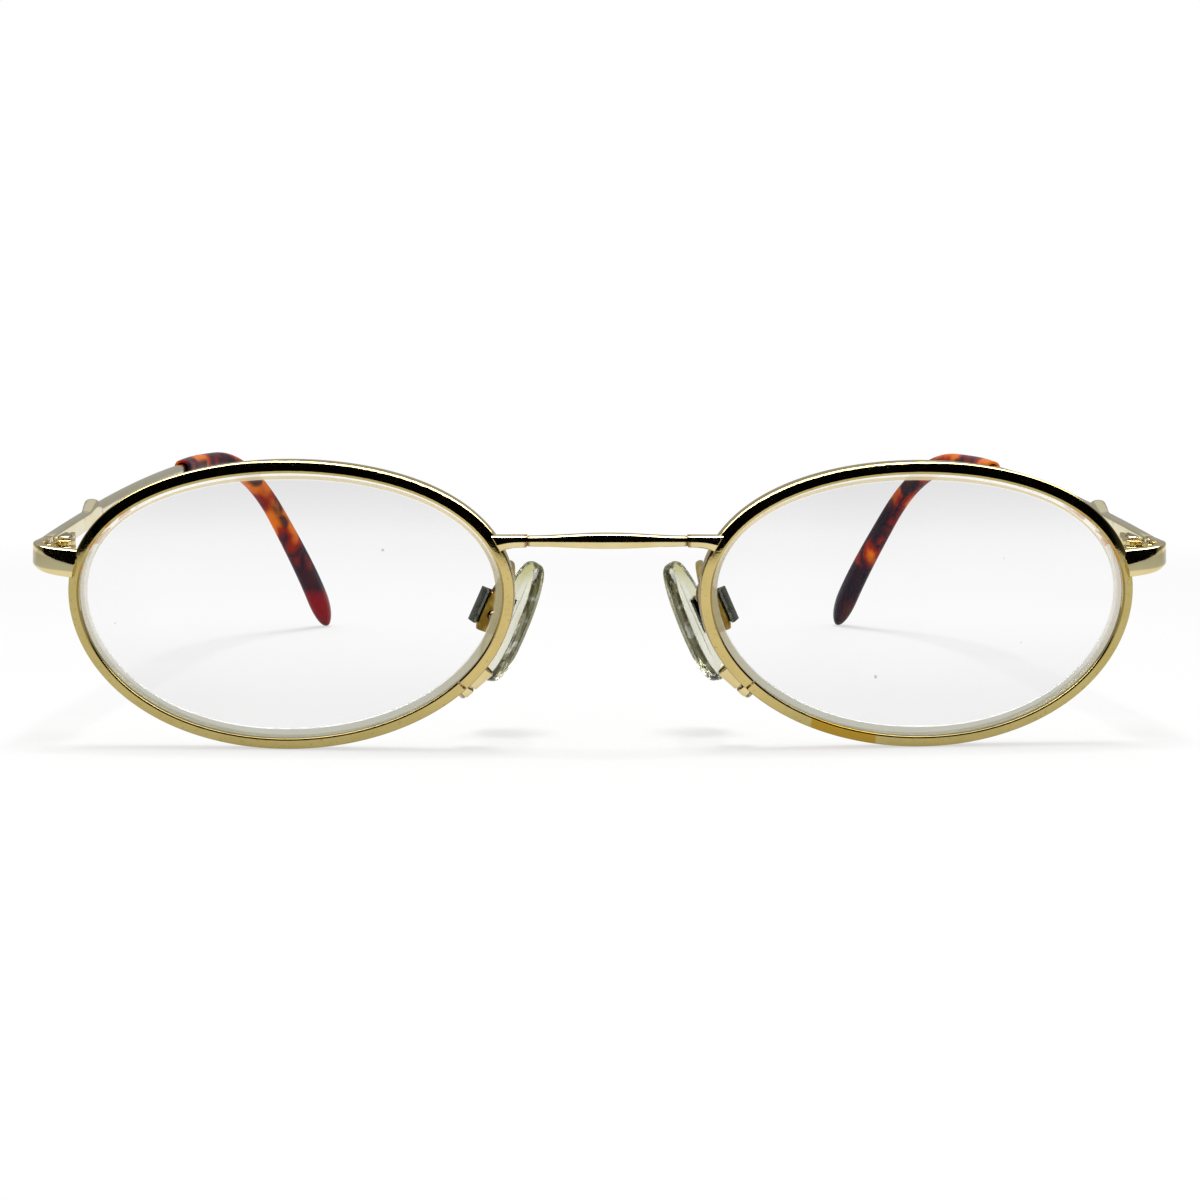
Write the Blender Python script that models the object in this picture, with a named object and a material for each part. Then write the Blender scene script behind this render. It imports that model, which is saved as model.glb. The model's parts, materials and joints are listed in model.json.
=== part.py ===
"""Oval wire-rimmed glasses, standing open on a table on their rims and temple tips.

Metres, +Z up. The front faces -Y, the temples run back along +Y, and the origin is the middle of the
glasses' box, at table height. Left and right are the wearer's, so the wearer's left is +X. Each pair of
pieces is described once, for the wearer's left, and mirrored.
"""
import math

import bmesh
import bpy
from mathutils import Matrix, Vector

# The front leans forward as it stands, and each oval turns back and down a little towards its temple.
FRONT_TILT = math.radians(6.0)
FACE_WRAP = math.radians(4.0)
OVAL_ROLL = math.radians(2.2)
RIM_INNER_X = 0.01014
RIM_HALF_WIDTH = 0.0253
RIM_CENTRE_X = RIM_INNER_X + RIM_HALF_WIDTH
RIM_HALF_HEIGHT = 0.01639
OVAL_EGG = 0.00033
OVAL_POINT = 0.00033
OVAL_SAG = 0.00065

# The eyewire is a strip with a V groove inside, split where the closing block clamps it.
EYEWIRE_WALL = 0.0013
EYEWIRE_DEPTH = 0.0019
EYEWIRE_BEVEL = 0.00032
GROOVE_DEPTH = 0.0005
GROOVE_WIDTH = 0.0009
RIM_SPLIT_ANGLE = math.radians(220.5)
RIM_SPLIT = 0.0003

# The lens has a V bevel in the groove, a domed front and a ground chamfer behind.
LENS_FIT = 0.00015
LENS_EDGE = 0.0019
LENS_CENTRE = 0.0021
LENS_DOME = 0.0015
LENS_CHAMFER = 0.0006
BEVEL_WIDTH = 0.0007

# Soldered, seated and turning pieces keep these gaps.
SOLDER_GAP = 0.00025
SEAT_GAP = 0.00015
TURN_GAP = 0.0002

# The closing block is two small blocks behind the rim, drawn together by a screw.
LOCK_DEPTH = 0.0015
LOCK_INSIDE = 0.0005
LOCK_OUTSIDE = 0.0010
LOCK_UPPER_LENGTH = 0.0027
LOCK_LOWER_LENGTH = 0.0011
LOCK_SCREW_RADIUS = 0.00032
LOCK_HEAD_RADIUS = 0.0006
LOCK_HEAD_HEIGHT = 0.0003

# The bridge is a bar that swells in the middle and bows forward between two flared stubs.
BRIDGE_HEIGHT_ON_RIM = 0.02405
STUB_END_X = 0.0088
STUB_END_HEIGHT = 0.0014
STUB_ROOT_HEIGHT = 0.0027
STUB_DEPTH = 0.0016
BRIDGE_END_HEIGHT = 0.00118
BRIDGE_MID_HEIGHT = 0.0018
BRIDGE_DEPTH = 0.0014
BRIDGE_BOW = 0.0012
BRIDGE_RISE = 0.0002
BRIDGE_BEVEL = 0.0005

# The end piece runs out from the rim, turns a round corner and runs back to butt on the temple.
TEMPLE_PAST_RIM = 0.00376
TEMPLE_OUTER_X = RIM_CENTRE_X + RIM_HALF_WIDTH + TEMPLE_PAST_RIM
LUG_THICKNESS = 0.0012
LUG_HEIGHT = 0.0030
LUG_ROOT_HEIGHT = 0.0034
LUG_FRONT_Y = 0.0006
LUG_ROOT_Z = 0.0207
LUG_CORNER_RADIUS = 0.0026
LUG_TOP_BEVEL = 0.00025
LUG_LOWER_FACET = 0.0005
LUG_ROOT_FACET = 0.0013
BUTT_Y = 0.0073
BUTT_Z = 0.0220

# The hinge has two knuckles on the end piece and one on the temple, on a screw.
BARREL_HEIGHT = 0.0023
BARREL_DROP = 0.0005
KNUCKLE_RADIUS = 0.00105
HINGE_SET_BACK = 0.0008
LEAF_THICKNESS = 0.0005
FRONT_LEAF_LENGTH = 0.0025
TEMPLE_LEAF_LENGTH = 0.0042
HINGE_SCREW_RADIUS = 0.00036
HINGE_HEAD_RADIUS = 0.00075
HINGE_HEAD_HEIGHT = 0.00035
SCREW_SLOT = 0.00022

# The temple is a flat strip, then a raised bead, then an arched bar whose core fills the tip.
TEMPLE_THICKNESS = 0.0012
TEMPLE_LENGTH = 0.1375
TEMPLE_RISE = math.radians(3.75)
TEMPLE_ARCH_RADIUS = 0.70
BLADE_HALF_HEIGHT = 0.00120
BLADE_END_HALF_HEIGHT = 0.00105
BEAD_AT = 0.0174
BEAD_LENGTH = 0.0044
BEAD_RISE = 0.0008
BEAD_SWELL = 0.00025
BAR_HALF_HEIGHT = 0.00120
BAR_END_HALF_HEIGHT = 0.00095
BAR_HALF_THICKNESS = 0.00075
BAR_END_HALF_THICKNESS = 0.00068
CORE_RADIUS = 0.0006
CORE_END = 0.128

# The tip sleeves the core, bends down behind the ear and leans in towards the head.
TIP_START = 0.0660
TIP_BEND_START = 0.0840
TIP_BEND_RADIUS = 0.027
TIP_LEAN_START = 0.070
TIP_LEAN_RUN = 0.075
TIP_LEAN_IN = 0.0141
TIP_FIT = 0.0002
TIP_MOUTH_WALL = 0.0004
TIP_HALF_THICKNESS = 0.0015
TIP_END_HALF_THICKNESS = 0.00205
TIP_HALF_HEIGHT = 0.00175
TIP_END_HALF_HEIGHT = 0.0020
TIP_ROUND_END = 0.0060

# The pad rocks on a pin through the flat end of its arm, inside a steel clip.
PAD_FLARE = math.radians(24.0)
PAD_SPLAY = math.radians(28.0)
PAD_LEAN = math.radians(6.0)
PAD_PIN_PLACE = Vector((0.0132, 0.0085, 0.0136))
PLATE_HALF_WIDTH = 0.00145
PLATE_THICKNESS = 0.0007
PLATE_LENGTH = 0.0049
PIN_ABOVE_PLATE_END = 0.00215
PLATE_FOOT = 0.0006
PIN_RADIUS = 0.0004
PIN_HEAD_RADIUS = 0.00062
PIN_HEAD_HEIGHT = 0.0003
CLIP_WALL = 0.00045
CLIP_EAR_GAP = 0.0003
PAD_HALF_WIDTH = 0.0034
PAD_HALF_LENGTH = 0.00765
PAD_THICKNESS = 0.0019
PAD_SEAT_DEPTH = 0.00025
PAD_ABOVE_PIN = 0.0001
PAD_ROUND = 0.0011
ARM_RADIUS = 0.0005
ARM_ARCH = 0.0013
ARM_FOOT_ANGLE = math.radians(179.0)

GOLD = (0.83, 0.66, 0.34)
STEEL = (0.62, 0.62, 0.60)
LENS_TINT = (0.93, 0.95, 0.94)
PAD_TINT = (0.86, 0.87, 0.76)
TORTOISE = (0.36, 0.10, 0.03)

RIM_STEPS = 60
WIRE_STEPS = 12
PAD_STEPS = 24
SIDES = (("left", 1), ("right", -1))
MIRROR = Matrix.Diagonal((-1.0, 1.0, 1.0, 1.0))


def material(name, colour, roughness, metallic, alpha=1.0):
    """A plain finish for one kind of piece."""
    made = bpy.data.materials.new(name)
    made.use_nodes = True
    shader = made.node_tree.nodes["Principled BSDF"]
    shader.inputs["Base Color"].default_value = (*colour, 1.0)
    shader.inputs["Roughness"].default_value = roughness
    shader.inputs["Metallic"].default_value = metallic
    shader.inputs["Alpha"].default_value = alpha
    return made


def empty(name, parent=None, frame=Matrix(), side=1):
    """An empty that carries the pieces of one frame, mirrored for the wearer's right."""
    made = bpy.data.objects.new(name, None)
    bpy.context.scene.collection.objects.link(made)
    made.parent = parent
    made.matrix_local = frame if side > 0 else MIRROR @ frame @ MIRROR
    return made


def piece(name, body, finish, parent, side=1, frame=Matrix()):
    """One named object from a bmesh that is described for the wearer's left, in its own frame."""
    for vert in body.verts:
        vert.co.x *= side
    bmesh.ops.recalc_face_normals(body, faces=body.faces[:])
    if body.calc_volume(signed=True) < 0.0:
        bmesh.ops.reverse_faces(body, faces=body.faces[:])
    mesh = bpy.data.meshes.new(name)
    body.to_mesh(mesh)
    body.free()
    made = bpy.data.objects.new(name, mesh)
    bpy.context.scene.collection.objects.link(made)
    made.parent = parent
    made.matrix_local = frame if side > 0 else MIRROR @ frame @ MIRROR
    if finish:
        mesh.materials.append(finish)
        mesh.shade_smooth()
        mesh.set_sharp_from_angle(angle=math.radians(35.0))
    return made


def cut_away(target, body, side=1, frame=Matrix()):
    """Cuts a hole, slot or seat out of a piece. The cutter stays as a hidden wire object beside it."""
    cutter = piece(target.name + "_cutter", body, None, target.parent, side, frame)
    cutter.hide_render = True
    cutter.display_type = "WIRE"
    cut = target.modifiers.new("cut", "BOOLEAN")
    cut.operation = "DIFFERENCE"
    cut.solver = "EXACT"
    cut.object = cutter


def break_edges(target, width):
    """Takes the sharp edges off a small metal block."""
    bevel = target.modifiers.new("edges", "BEVEL")
    bevel.width = width
    bevel.segments = 1
    bevel.limit_method = "ANGLE"
    bevel.angle_limit = math.radians(40.0)


def loft(rings):
    """A closed body through rings of points. A ring of one point closes an end, and others are capped."""
    body = bmesh.new()
    loops = [[body.verts.new(point) for point in ring] for ring in rings]
    for here, there in zip(loops, loops[1:]):
        for step in range(max(len(here), len(there))):
            corners = (
                here[step % len(here)],
                here[(step + 1) % len(here)],
                there[(step + 1) % len(there)],
                there[step % len(there)],
            )
            body.faces.new(list(dict.fromkeys(corners)))
    for end in (loops[0], loops[-1]):
        if len(end) > 1:
            body.faces.new(end)
    return body


def prism(outline, low, high):
    """A flat outline of (x, y) points drawn up from low to high."""
    return loft([[Vector((x, y, z)) for x, y in outline] for z in (low, high)])


def block(low, high):
    """A box between two corners."""
    outline = [(low[0], low[1]), (high[0], low[1]), (high[0], high[1]), (low[0], high[1])]
    return prism(outline, low[2], high[2])


def turned(profile, steps, axis="Z"):
    """A solid turned about an axis from (radius, height) points that run from end to end."""
    rings = []
    for radius, height in profile:
        turns = [2.0 * math.pi * step / steps for step in range(steps if radius else 1)]
        ring = [(radius * math.cos(turn), radius * math.sin(turn)) for turn in turns]
        if axis == "Z":
            rings.append([Vector((a, b, height)) for a, b in ring])
        else:
            rings.append([Vector((height, a, b)) for a, b in ring])
    return loft(rings)


def rod(radius, low, high, steps=WIRE_STEPS, axis="Z"):
    """A plain round bar between two heights on its axis."""
    return turned([(0, low), (radius, low), (radius, high), (0, high)], steps, axis)


def rounded_section(half_width, top, bottom, corner, steps=WIRE_STEPS):
    """Points (across, up) round a bar's section, whose corners are arcs and whose sides are flat."""
    points = []
    for step in range(steps):
        turn = 2.0 * math.pi * (step + 0.5) / steps
        across = math.copysign(half_width - corner, math.cos(turn)) + corner * math.cos(turn)
        reach = (top if math.sin(turn) > 0 else bottom) - corner
        up = math.copysign(reach, math.sin(turn)) + corner * math.sin(turn)
        points.append((across, up))
    return points


def ease(value):
    """Runs smoothly from 0 to 1."""
    value = min(max(value, 0.0), 1.0)
    return value * value * (3.0 - 2.0 * value)


def blend(start, end, share):
    return start + (end - start) * share


# The oval, seen in its own plane: x towards the temple, y back, z up.


def oval(angle, inset=0.0):
    """The point at an angle round the oval, moved inwards from the rim's outer edge.

    It is an ellipse that is a little blunt at its ends, pointed below and full above its temporal end.
    """
    shaping = OVAL_EGG * math.cos(2.0 * angle) + OVAL_POINT * math.cos(3.0 * angle)
    x = RIM_HALF_WIDTH * math.cos(angle) - shaping
    z = RIM_HALF_HEIGHT * math.sin(angle) + OVAL_SAG * math.cos(2.0 * angle)
    return Vector((x, 0.0, z)) - oval_outward(angle) * inset


def oval_along(angle):
    """How fast and which way the oval runs as its angle grows."""
    bends = 2.0 * OVAL_EGG * math.sin(2.0 * angle) + 3.0 * OVAL_POINT * math.sin(3.0 * angle)
    x = bends - RIM_HALF_WIDTH * math.sin(angle)
    z = RIM_HALF_HEIGHT * math.cos(angle) - 2.0 * OVAL_SAG * math.sin(2.0 * angle)
    return Vector((x, 0.0, z))


def oval_outward(angle):
    along = oval_along(angle).normalized()
    return Vector((along.z, 0.0, -along.x))


def oval_ring(inset, depth, steps=RIM_STEPS):
    """A closed ring of points at one inset and depth."""
    back = Vector((0.0, depth, 0.0))
    return [oval(2.0 * math.pi * step / steps, inset) + back for step in range(steps)]


def oval_prism(inset, low, high):
    """A solid oval, used to trim what is soldered to the rim."""
    return loft([oval_ring(inset, low), oval_ring(inset, high)])


def eyewire_section():
    """(inset, depth) points round the eyewire: a bevelled strip with the V groove inside."""
    half = EYEWIRE_DEPTH / 2.0
    lip = EYEWIRE_WALL
    groove = GROOVE_WIDTH / 2.0
    outside = [(0.0, -half + EYEWIRE_BEVEL), (0.0, half - EYEWIRE_BEVEL), (EYEWIRE_BEVEL, half)]
    behind = [(lip - EYEWIRE_BEVEL / 2.0, half), (lip, half - EYEWIRE_BEVEL / 2.0)]
    inside = [(lip, groove), (lip - GROOVE_DEPTH, 0.0), (lip, -groove)]
    before = [(lip, -half + EYEWIRE_BEVEL / 2.0), (lip - EYEWIRE_BEVEL / 2.0, -half), (EYEWIRE_BEVEL, -half)]
    return outside + behind + inside + before


def make_rim():
    """The eyewire, swept round the oval from one side of its split to the other."""
    half_gap = RIM_SPLIT / 2.0 / oval_along(RIM_SPLIT_ANGLE).length
    sweep = 2.0 * math.pi - 2.0 * half_gap
    rings = []
    for step in range(RIM_STEPS + 1):
        angle = RIM_SPLIT_ANGLE + half_gap + sweep * step / RIM_STEPS
        rings.append([oval(angle, inset) + Vector((0.0, depth, 0.0)) for inset, depth in eyewire_section()])
    return loft(rings)


def make_lens():
    """The lens, from the middle of its domed front round the bevelled edge to the middle of its back."""
    shoulder = EYEWIRE_WALL + LENS_FIT
    apex = shoulder - GROOVE_DEPTH + LENS_FIT
    front = -GROOVE_WIDTH / 2.0
    back = front + LENS_EDGE
    rings = []
    for share in (0.0, 0.4, 0.75):
        ring = oval_ring(shoulder, front - LENS_DOME * (1.0 - share**2))
        rings.append([Vector((point.x * share, point.y, point.z * share)) for point in ring])
    rings.append(oval_ring(shoulder, front))
    rings.append(oval_ring(shoulder, -BEVEL_WIDTH / 2.0))
    rings.append(oval_ring(apex, 0.0))
    rings.append(oval_ring(shoulder, BEVEL_WIDTH / 2.0))
    rings.append(oval_ring(shoulder, back - LENS_CHAMFER * 0.6))
    rings.append(oval_ring(shoulder + LENS_CHAMFER, back))
    for share in (0.7, 0.35, 0.0):
        depth = front - LENS_DOME * (1.0 - share**2) + blend(LENS_CENTRE, LENS_EDGE, share**2)
        ring = oval_ring(shoulder + LENS_CHAMFER, depth)
        rings.append([Vector((point.x * share, point.y, point.z * share)) for point in ring])
    rings[0] = rings[0][:1]
    rings[-1] = rings[-1][:1]
    return loft(rings)


def rim_frame(angle):
    """A frame on the rim's outer edge: x outwards, y back, z along the rim."""
    out = oval_outward(angle)
    back = Vector((0.0, 1.0, 0.0))
    along = out.cross(back)
    frame = Matrix((out, back, along)).transposed().to_4x4()
    return Matrix.Translation(oval(angle)) @ frame


def make_closing_block(word, side, eye, gold, steel):
    """Two blocks soldered to the rim on either side of its split, and the screw that closes them."""
    frame = rim_frame(RIM_SPLIT_ANGLE)
    front = EYEWIRE_DEPTH / 2.0 + SOLDER_GAP
    back = front + LOCK_DEPTH
    half_gap = RIM_SPLIT / 2.0
    middle = Vector(((LOCK_OUTSIDE - LOCK_INSIDE) / 2.0, front + LOCK_DEPTH / 2.0, 0.0))
    spans = (
        ("rim_lock_upper_", -half_gap - LOCK_UPPER_LENGTH, -half_gap),
        ("rim_lock_lower_", half_gap, half_gap + LOCK_LOWER_LENGTH),
    )
    for name, low, high in spans:
        solid = block((-LOCK_INSIDE, front, low), (LOCK_OUTSIDE, back, high))
        made = piece(name + word, solid, gold, eye, side, frame)
        break_edges(made, LOCK_DEPTH * 0.15)
        bore = rod(LOCK_SCREW_RADIUS + SEAT_GAP, low - half_gap, high + half_gap)
        bmesh.ops.translate(bore, verts=bore.verts, vec=middle)
        cut_away(made, bore, side, frame)
    head = half_gap + LOCK_LOWER_LENGTH + SEAT_GAP
    profile = [
        (0, -LOCK_UPPER_LENGTH),
        (LOCK_SCREW_RADIUS, -LOCK_UPPER_LENGTH),
        (LOCK_SCREW_RADIUS, head),
        (LOCK_HEAD_RADIUS, head),
        (LOCK_HEAD_RADIUS, head + LOCK_HEAD_HEIGHT * 0.6),
        (LOCK_HEAD_RADIUS * 0.7, head + LOCK_HEAD_HEIGHT),
        (0, head + LOCK_HEAD_HEIGHT),
    ]
    screw = turned(profile, WIRE_STEPS)
    bmesh.ops.translate(screw, verts=screw.verts, vec=middle)
    piece("rim_lock_screw_" + word, screw, steel, eye, side, frame)


def eye_frame():
    """The plane of the wearer's left oval, in the front's frame."""
    turn = Matrix.Rotation(FACE_WRAP, 4, "Z") @ Matrix.Rotation(OVAL_ROLL, 4, "Y")
    rise = -min((turn @ point).z for point in oval_ring(0.0, 0.0))
    return Matrix.Translation((RIM_CENTRE_X, 0.0, rise)) @ turn


def rim_low_point():
    """How far the rims' lowest edge lies from the front's own zero, once the front leans."""
    stand = Matrix.Rotation(FRONT_TILT, 4, "X") @ eye_frame()
    edge = [oval_ring(inset, depth) for inset, depth in eyewire_section()]
    return min((stand @ point).z for ring in edge for point in ring)


# The front's frame: x to the wearer's left, y back, z up the leaning front.


def bridge_depth():
    """How far back the middle of the eyewire lies where the bridge meets it."""
    return -math.sin(FACE_WRAP) * (RIM_CENTRE_X - STUB_END_X)


def bridge_section(x, height, depth, middle, lift=0.0):
    """A ring of the bridge across x, with a round front and back."""
    corner = min(BRIDGE_BEVEL, height * 0.4)
    points = rounded_section(depth / 2.0, height / 2.0, height / 2.0, corner)
    return [Vector((x, middle + across, BRIDGE_HEIGHT_ON_RIM + lift + up)) for across, up in points]


def make_bridge_bar():
    """The bar between the stubs. It bows forward and swells in the middle."""
    reach = STUB_END_X - SOLDER_GAP
    rings = []
    steps = 16
    for step in range(steps + 1):
        share = 2.0 * step / steps - 1.0
        swell = math.cos(math.pi / 2.0 * share) ** 2
        height = blend(BRIDGE_END_HEIGHT, BRIDGE_MID_HEIGHT, swell)
        middle = bridge_depth() - BRIDGE_BOW * swell
        depth = blend(0.9, 1.0, swell) * BRIDGE_DEPTH
        rings.append(bridge_section(reach * share, height, depth, middle, BRIDGE_RISE * swell))
    return loft(rings)


def make_bridge_stub():
    """A stub that flares down into the rim, and is trimmed to it."""
    root_x = RIM_CENTRE_X - RIM_HALF_WIDTH * 0.85
    rings = []
    steps = 6
    for step in range(steps + 1):
        share = step / steps
        x = blend(STUB_END_X, root_x, share)
        height = blend(STUB_END_HEIGHT, STUB_ROOT_HEIGHT, ease(share) ** 2)
        lift = -(height - STUB_END_HEIGHT) / 2.0
        rings.append(bridge_section(x, height, STUB_DEPTH, bridge_depth(), lift))
    return loft(rings)


def lug_section(height, facet):
    """(inset, up) points round the end piece, with a bevelled top edge and a lower facet in front."""
    half = height / 2.0
    edge = LUG_THICKNESS * 0.15
    front = [(LUG_TOP_BEVEL, half), (LUG_TOP_BEVEL * 0.2, half - LUG_TOP_BEVEL)]
    ridge = [(0.0, facet - half), (LUG_THICKNESS * 0.35, -half)]
    behind = [(LUG_THICKNESS - edge, -half), (LUG_THICKNESS, edge - half)]
    return front + ridge + behind + [(LUG_THICKNESS, half - edge), (LUG_THICKNESS - edge, half)]


def make_end_piece():
    """The lug, lofted along its outer face from inside the rim, round the corner and back to the butt."""
    root_x = RIM_CENTRE_X + RIM_HALF_WIDTH * 0.86
    corner_x = TEMPLE_OUTER_X - LUG_CORNER_RADIUS
    corner_y = LUG_FRONT_Y + LUG_CORNER_RADIUS
    end_z = BUTT_Z + BLADE_HALF_HEIGHT - LUG_HEIGHT / 2.0
    stations = [(root_x, LUG_FRONT_Y, 0.0), (blend(root_x, corner_x, 0.6), LUG_FRONT_Y, 0.0)]
    for step in range(7):
        turn = math.radians(15.0 * step)
        x = corner_x + LUG_CORNER_RADIUS * math.sin(turn)
        stations.append((x, corner_y - LUG_CORNER_RADIUS * math.cos(turn), turn))
    stations.append((TEMPLE_OUTER_X, BUTT_Y, math.radians(90.0)))
    rings = []
    for x, y, turn in stations:
        climb = (x - root_x) / (TEMPLE_OUTER_X - root_x)
        middle = Vector((x, y, blend(LUG_ROOT_Z, end_z, climb)))
        inwards = Vector((-math.sin(turn), math.cos(turn), 0.0))
        section = lug_section(
            blend(LUG_ROOT_HEIGHT, LUG_HEIGHT, climb),
            blend(LUG_ROOT_FACET, LUG_LOWER_FACET, climb),
        )
        rings.append([middle + inwards * inset + Vector((0.0, 0.0, up)) for inset, up in section])
    return loft(rings)


def hinge_place():
    """The hinge axis in the front's frame, at the middle of the barrel's height."""
    x = TEMPLE_OUTER_X - TEMPLE_THICKNESS - SEAT_GAP - KNUCKLE_RADIUS
    return Vector((x, BUTT_Y + HINGE_SET_BACK, BUTT_Z - BARREL_DROP))


def leaf_outline(length, way):
    """(x, y) outline from above of a knuckle with its leaf, round the hinge axis. way is -1 or 1 along y."""
    outer = KNUCKLE_RADIUS
    inner = KNUCKLE_RADIUS - LEAF_THICKNESS
    meet = math.acos(inner / KNUCKLE_RADIUS)
    reach = KNUCKLE_RADIUS + TURN_GAP + length
    points = [(outer, way * reach), (outer, 0.0)]
    steps = 14
    for step in range(1, steps + 1):
        turn = (2.0 * math.pi - meet) * step / steps
        points.append((KNUCKLE_RADIUS * math.cos(turn), -way * KNUCKLE_RADIUS * math.sin(turn)))
    return points + [(inner, way * reach)]


def make_hinge_half(name, side, parent, frame, finish, length, way, slots):
    """A leaf with its knuckles: the outline drawn up, less the slots of the other half's knuckles."""
    half = BARREL_HEIGHT / 2.0
    made = piece(name, prism(leaf_outline(length, way), -half, half), finish, parent, side, frame)
    clear = KNUCKLE_RADIUS + TURN_GAP
    for low, high in slots:
        near, far = sorted((way * clear, -way * clear * 1.5))
        cut_away(made, block((-clear * 1.5, near, low), (clear * 1.5, far, high)), side, frame)
    cut_away(made, rod(HINGE_SCREW_RADIUS + SEAT_GAP, -half * 1.2, half * 1.2), side, frame)


def make_hinge_screw(name, side, parent, frame, finish):
    """The screw through the barrel, with a slotted head above it."""
    half = BARREL_HEIGHT / 2.0
    head = half + SEAT_GAP
    top = head + HINGE_HEAD_HEIGHT
    profile = [
        (0, -half),
        (HINGE_SCREW_RADIUS, -half),
        (HINGE_SCREW_RADIUS, head),
        (HINGE_HEAD_RADIUS, head),
        (HINGE_HEAD_RADIUS, blend(head, top, 0.5)),
        (HINGE_HEAD_RADIUS * 0.75, top),
        (0, top),
    ]
    made = piece(name, turned(profile, WIRE_STEPS), finish, parent, side, frame)
    wide = HINGE_HEAD_RADIUS * 1.2
    slot = block((-wide, -SCREW_SLOT / 2.0, blend(head, top, 0.4)), (wide, SCREW_SLOT / 2.0, top * 1.2))
    cut_away(made, slot, side, frame)


# The temple, by distance along its middle line from the butt.


def run_arc(start, angle, radius, length):
    """Where a bend that turns down ends, in the temple's side view, and the angle that it leaves."""
    after = angle - length / radius
    y = start[0] + radius * (math.sin(angle) - math.sin(after))
    z = start[1] + radius * (math.cos(after) - math.cos(angle))
    return (y, z), after


def temple_line(distance, drop):
    """The middle line at a distance: arched to the bend, round it, then straight down at the drop angle."""
    arch = min(distance, TIP_BEND_START)
    place, angle = run_arc((BUTT_Y + SEAT_GAP, BUTT_Z), TEMPLE_RISE, TEMPLE_ARCH_RADIUS, arch)
    bend_length = (angle + drop) * TIP_BEND_RADIUS
    bend = min(max(distance - TIP_BEND_START, 0.0), bend_length)
    place, angle = run_arc(place, angle, TIP_BEND_RADIUS, bend)
    rest = max(distance - TIP_BEND_START - bend_length, 0.0)
    y = place[0] + rest * math.cos(angle)
    z = place[1] + rest * math.sin(angle)
    lean = TIP_LEAN_IN * ease((distance - TIP_LEAN_START) / TIP_LEAN_RUN)
    return Vector((TEMPLE_OUTER_X - TEMPLE_THICKNESS / 2.0 - lean, y, z))


def temple_ring(distance, drop, half_width, top, bottom, corner):
    """A ring of the temple or tip, square to its middle line."""
    step = TEMPLE_THICKNESS / 2.0
    middle = temple_line(distance, drop)
    along = (temple_line(distance + step, drop) - temple_line(max(distance - step, 0.0), drop)).normalized()
    across = Vector((1.0, 0.0, 0.0))
    across = (across - along * across.dot(along)).normalized()
    if distance < TIP_LEAN_START:
        across = Vector((1.0, 0.0, 0.0))
    upwards = across.cross(along)
    if distance == 0.0:
        upwards = Vector((0.0, 0.0, 1.0))
    section = rounded_section(half_width, top, bottom, corner)
    return [middle + across * a + upwards * b for a, b in section]


def metal_size(distance):
    """Half width, top, bottom and corner of the metal at a distance: strip, bead, bar, then core."""
    bead = max(0.0, math.cos(math.pi * (distance - BEAD_AT) / BEAD_LENGTH / 1.3)) ** 2
    if abs(distance - BEAD_AT) > BEAD_LENGTH * 0.65:
        bead = 0.0
    past_bead = ease((distance - BEAD_AT + BEAD_LENGTH / 4.0) / (BEAD_LENGTH / 2.0))
    strip = blend(BLADE_HALF_HEIGHT, BLADE_END_HALF_HEIGHT, distance / BEAD_AT)
    bar_share = (distance - BEAD_AT) / (TIP_START - BEAD_AT)
    bar = blend(BAR_HALF_HEIGHT, BAR_END_HALF_HEIGHT, min(bar_share, 1.0))
    wide = blend(BAR_HALF_THICKNESS, BAR_END_HALF_THICKNESS, min(bar_share, 1.0))
    half_width = blend(TEMPLE_THICKNESS / 2.0, wide, past_bead) + BEAD_SWELL * bead
    height = blend(strip, bar, past_bead)
    core = ease((distance - TIP_START) / (TIP_BEND_START - TIP_START) * 2.0)
    half_width = blend(half_width, CORE_RADIUS, core)
    height = blend(height, CORE_RADIUS, core)
    corner = blend(TEMPLE_THICKNESS * 0.25, TEMPLE_THICKNESS * 0.4, past_bead)
    top = height + BEAD_RISE * bead
    bottom = height + BEAD_RISE * 0.4 * bead
    return half_width, top, bottom, min(corner, half_width * 0.9)


def tip_size(distance):
    """Half width, top, bottom and corner of the tip's outside at a distance."""
    along = distance - TIP_START
    metal = metal_size(TIP_START)
    mouth = (metal[0] + TIP_FIT + TIP_MOUTH_WALL, metal[1] + TIP_FIT + TIP_MOUTH_WALL)
    grow = math.sin(math.pi / 2.0 * min(along / (TIP_BEND_START - TIP_START) * 1.6, 1.0))
    half_width = blend(mouth[0], TIP_HALF_THICKNESS, grow)
    height = blend(mouth[1], TIP_HALF_HEIGHT, grow)
    past_bend = ease((distance - TIP_BEND_START) / (CORE_END - TIP_BEND_START))
    half_width = blend(half_width, TIP_END_HALF_THICKNESS, past_bend)
    height = blend(height, TIP_END_HALF_HEIGHT, past_bend)
    left = (TEMPLE_LENGTH - distance) / TIP_ROUND_END
    if left < 1.0:
        round_end = math.sqrt(max(1.0 - (1.0 - left) ** 2, 0.0))
        half_width *= round_end
        height *= round_end
    return half_width, height, height, min(half_width, height) * 0.85


def spaced(start, end, steps):
    return [blend(start, end, step / steps) for step in range(steps + 1)]


def bend_end(drop):
    """The distance at which the tip's bend ends."""
    angle = TEMPLE_RISE - TIP_BEND_START / TEMPLE_ARCH_RADIUS
    return TIP_BEND_START + (angle + drop) * TIP_BEND_RADIUS


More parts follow.
